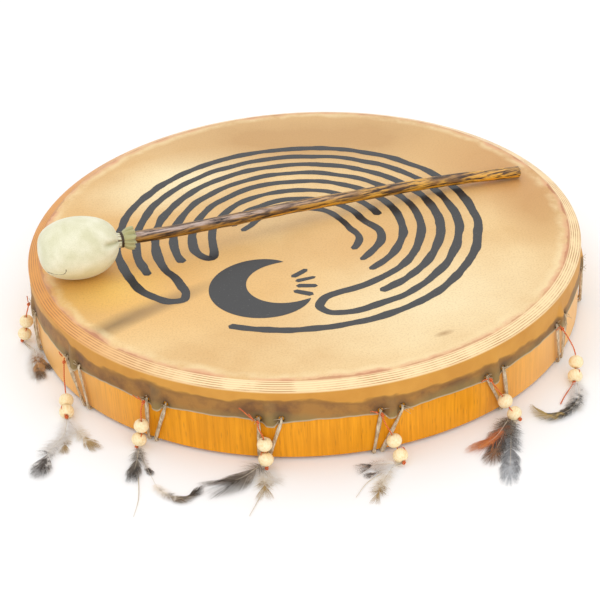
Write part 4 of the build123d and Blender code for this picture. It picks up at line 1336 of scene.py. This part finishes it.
# Nap about 0.6 mm, drawn a little coarse.
nap = add_node(tree, "TexNoise", {"Vector": place, "Scale": 1500.0, "Detail": 2.0})
nap_share = add_node(tree, "MapRange",
                     {"Value": nap.outputs["Fac"], "From Min": 0.45, "From Max": 0.75, "To Max": 0.28})
tone = add_node(tree, "Mix", {0: nap_share.outputs[0], 6: tone.outputs[2], 7: linear("#B4B284")},
                data_type="RGBA")
# Painted shade: the collar and the tuck are darker and greener among their folds. The underside is painted
# yellower, as painted bounce light and shade.
by_gather = add_node(tree, "Attribute", attribute_name="gathered")
gather_shade = add_node(tree, "Math", {0: by_gather.outputs["Fac"], 1: 0.8}, operation="MULTIPLY")
tone = add_node(tree, "Mix", {0: gather_shade.outputs[0], 6: tone.outputs[2], 7: linear("#A5A066")},
                data_type="RGBA")
parts = add_node(tree, "SeparateXYZ", {0: place})
# Painted bounce light and shade: yellower and darker towards the bottom of the bag, above the hide it rests
# on.
underside_bounce_and_shade = add_node(tree, "MapRange",
                    {"Value": parts.outputs["Z"], "From Min": 0.090, "From Max": 0.070, "To Max": 0.85})
tone = add_node(tree, "Mix", {0: underside_bounce_and_shade.outputs[0], 6: tone.outputs[2], 7: linear("#CFC27C")},
                data_type="RGBA")
tree.links.new(tone.outputs[2], shader.inputs["Base Color"])
velvet = add_node(tree, "Math", {0: nap.outputs["Fac"], 1: rubbed.outputs["Fac"]}, operation="ADD")
raised = add_node(tree, "Bump", {"Height": velvet.outputs[0], "Strength": 0.35, "Distance": 0.0006})
tree.links.new(raised.outputs["Normal"], shader.inputs["Normal"])
cover_skin = BVHTree.FromBMesh(cover)
bag = make_piece(cover, "suede_cover", "beater", [suede], ["beater_cover"])
cover_wall = bag.modifiers.new("suede thickness", "SOLIDIFY")
cover_wall.thickness = SUEDE_THICKNESS
cover_wall.offset = -1.0

# Wool: an off-white packed wad, hidden by the bag.
stuffing_wool, tree, shader = finish_of("packed wool", Roughness=0.95)
place = add_node(tree, "TexCoord").outputs["Object"]
fleece = add_node(tree, "TexNoise", {"Vector": place, "Scale": 500.0, "Detail": 5.0})
tone = add_node(tree, "Mix", {0: fleece.outputs["Fac"], 6: linear("#D8CDB8"), 7: linear("#F1EBDD")},
                data_type="RGBA")
tree.links.new(tone.outputs[2], shader.inputs["Base Color"])
wad = bmesh.new()
wad_length, wad_radius = (BALL_LENGTH - WAD_INSET) * MM, (BALL_RADIUS - WAD_INSET) * MM
bmesh.ops.create_uvsphere(wad, u_segments=40, v_segments=24, radius=1.0,
                          matrix=beater_place @ Matrix.Diagonal((wad_length, wad_radius, wad_radius, 1)))
wad.normal_update()
for vert in wad.verts:
    vert.co += vert.normal * noise.noise(vert.co * 90) * 1.0 * MM
stuffing = make_piece(wad, "wool_stuffing", "beater", [stuffing_wool], ["beater_padding"])

# Sinew: dark brown, shiny, fine fibres along its length.
sinew, tree, shader = finish_of("dark sinew", Roughness=0.4)
place = add_node(tree, "TexCoord").outputs["Object"]
fibres = add_node(tree, "TexNoise", {"Vector": place, "Scale": 1200.0, "Detail": 2.0})
tone = add_node(tree, "Mix", {0: fibres.outputs["Fac"], 6: linear("#2A2018"), 7: linear("#5A4632")},
                data_type="RGBA")
tree.links.new(tone.outputs[2], shader.inputs["Base Color"])
turns = []
for step in range(TIE_TURNS * TIE_STEPS + 1):
    turned = math.tau * step / TIE_STEPS
    pitch = (2 * TIE_RADIUS + 0.05) * step / TIE_STEPS
    spoke = Vector((0, math.cos(turned), math.sin(turned)))
    heading = Vector((0.0, -math.sin(turned), math.cos(turned)))
    spot = (Vector((TIE_PLACE - 0.6 + pitch, 0, 0)) + spoke * (NECK_RADIUS + 0.05)) * MM
    turns.append(beater_place @ section(spot, heading, spoke, TIE_RADIUS * MM, TIE_RADIUS * MM))
make_piece(drawn_out(turns, sides=8), "neck_binding", "beater", [sinew], ["beater_tie"])

# ---- Bag seam
# The bag is closed by a short crescent of whip stitches, low at its end, over a folded lip.
# Each row: place along the stick in millimetres, and angle round it in degrees.
SEAM_ROUTE = [(-27.7, -127.8), (-25.9, -135.9), (-23.3, -140.2), (-20.7, -143.8), (-17.9, -146.6),
              (-16.0, -150.7), (-15.1, -157.7), (-15.5, -163.5)]
STITCH_RADIUS = 0.32 * MM
LIP_RADIUS = 0.75 * MM
LIP_ABOVE_STITCHES = 0.7
OUTSIDE_BAG = 60

seam_spots = []
for along, degrees in SEAM_ROUTE:
    turned = math.radians(degrees)
    spoke = Vector((0, math.cos(turned), math.sin(turned)))
    outside = beater_place @ ((Vector((along, 0, 0)) + spoke * OUTSIDE_BAG) * MM)
    inward = (beater_place @ (Vector((along, 0, 0)) * MM) - outside).normalized()
    seam_spots.append(cover_skin.ray_cast(outside, inward)[0])
seam_route = eased(seam_spots, 1.2 * MM, 3)
lip_sections = []
for index, spot in enumerate(seam_route):
    lip_radius = LIP_RADIUS * (0.3 + 0.7 * math.sin(math.pi * index / (len(seam_route) - 1)))
    middle = spot + Vector((0, 0, LIP_ABOVE_STITCHES)) * MM
    lip_sections.append(section(middle, seam_route[-1] - seam_route[0], Vector((0, 0, 1)),
                                lip_radius, lip_radius))
make_piece(drawn_out(lip_sections), "seam_lip", "beater", [suede])
stitch_sections = []
for index, spot in enumerate(seam_route):
    run = seam_route[min(index + 1, len(seam_route) - 1)] - seam_route[max(index - 1, 0)]
    stitch_width = STITCH_RADIUS * (1.0 if index % 3 else 0.6)
    stitch_sections.append(section(spot, run, Vector((0, 0, 1)), stitch_width, STITCH_RADIUS))
make_piece(drawn_out(stitch_sections, sides=6), "seam_stitching", "beater", [sinew])
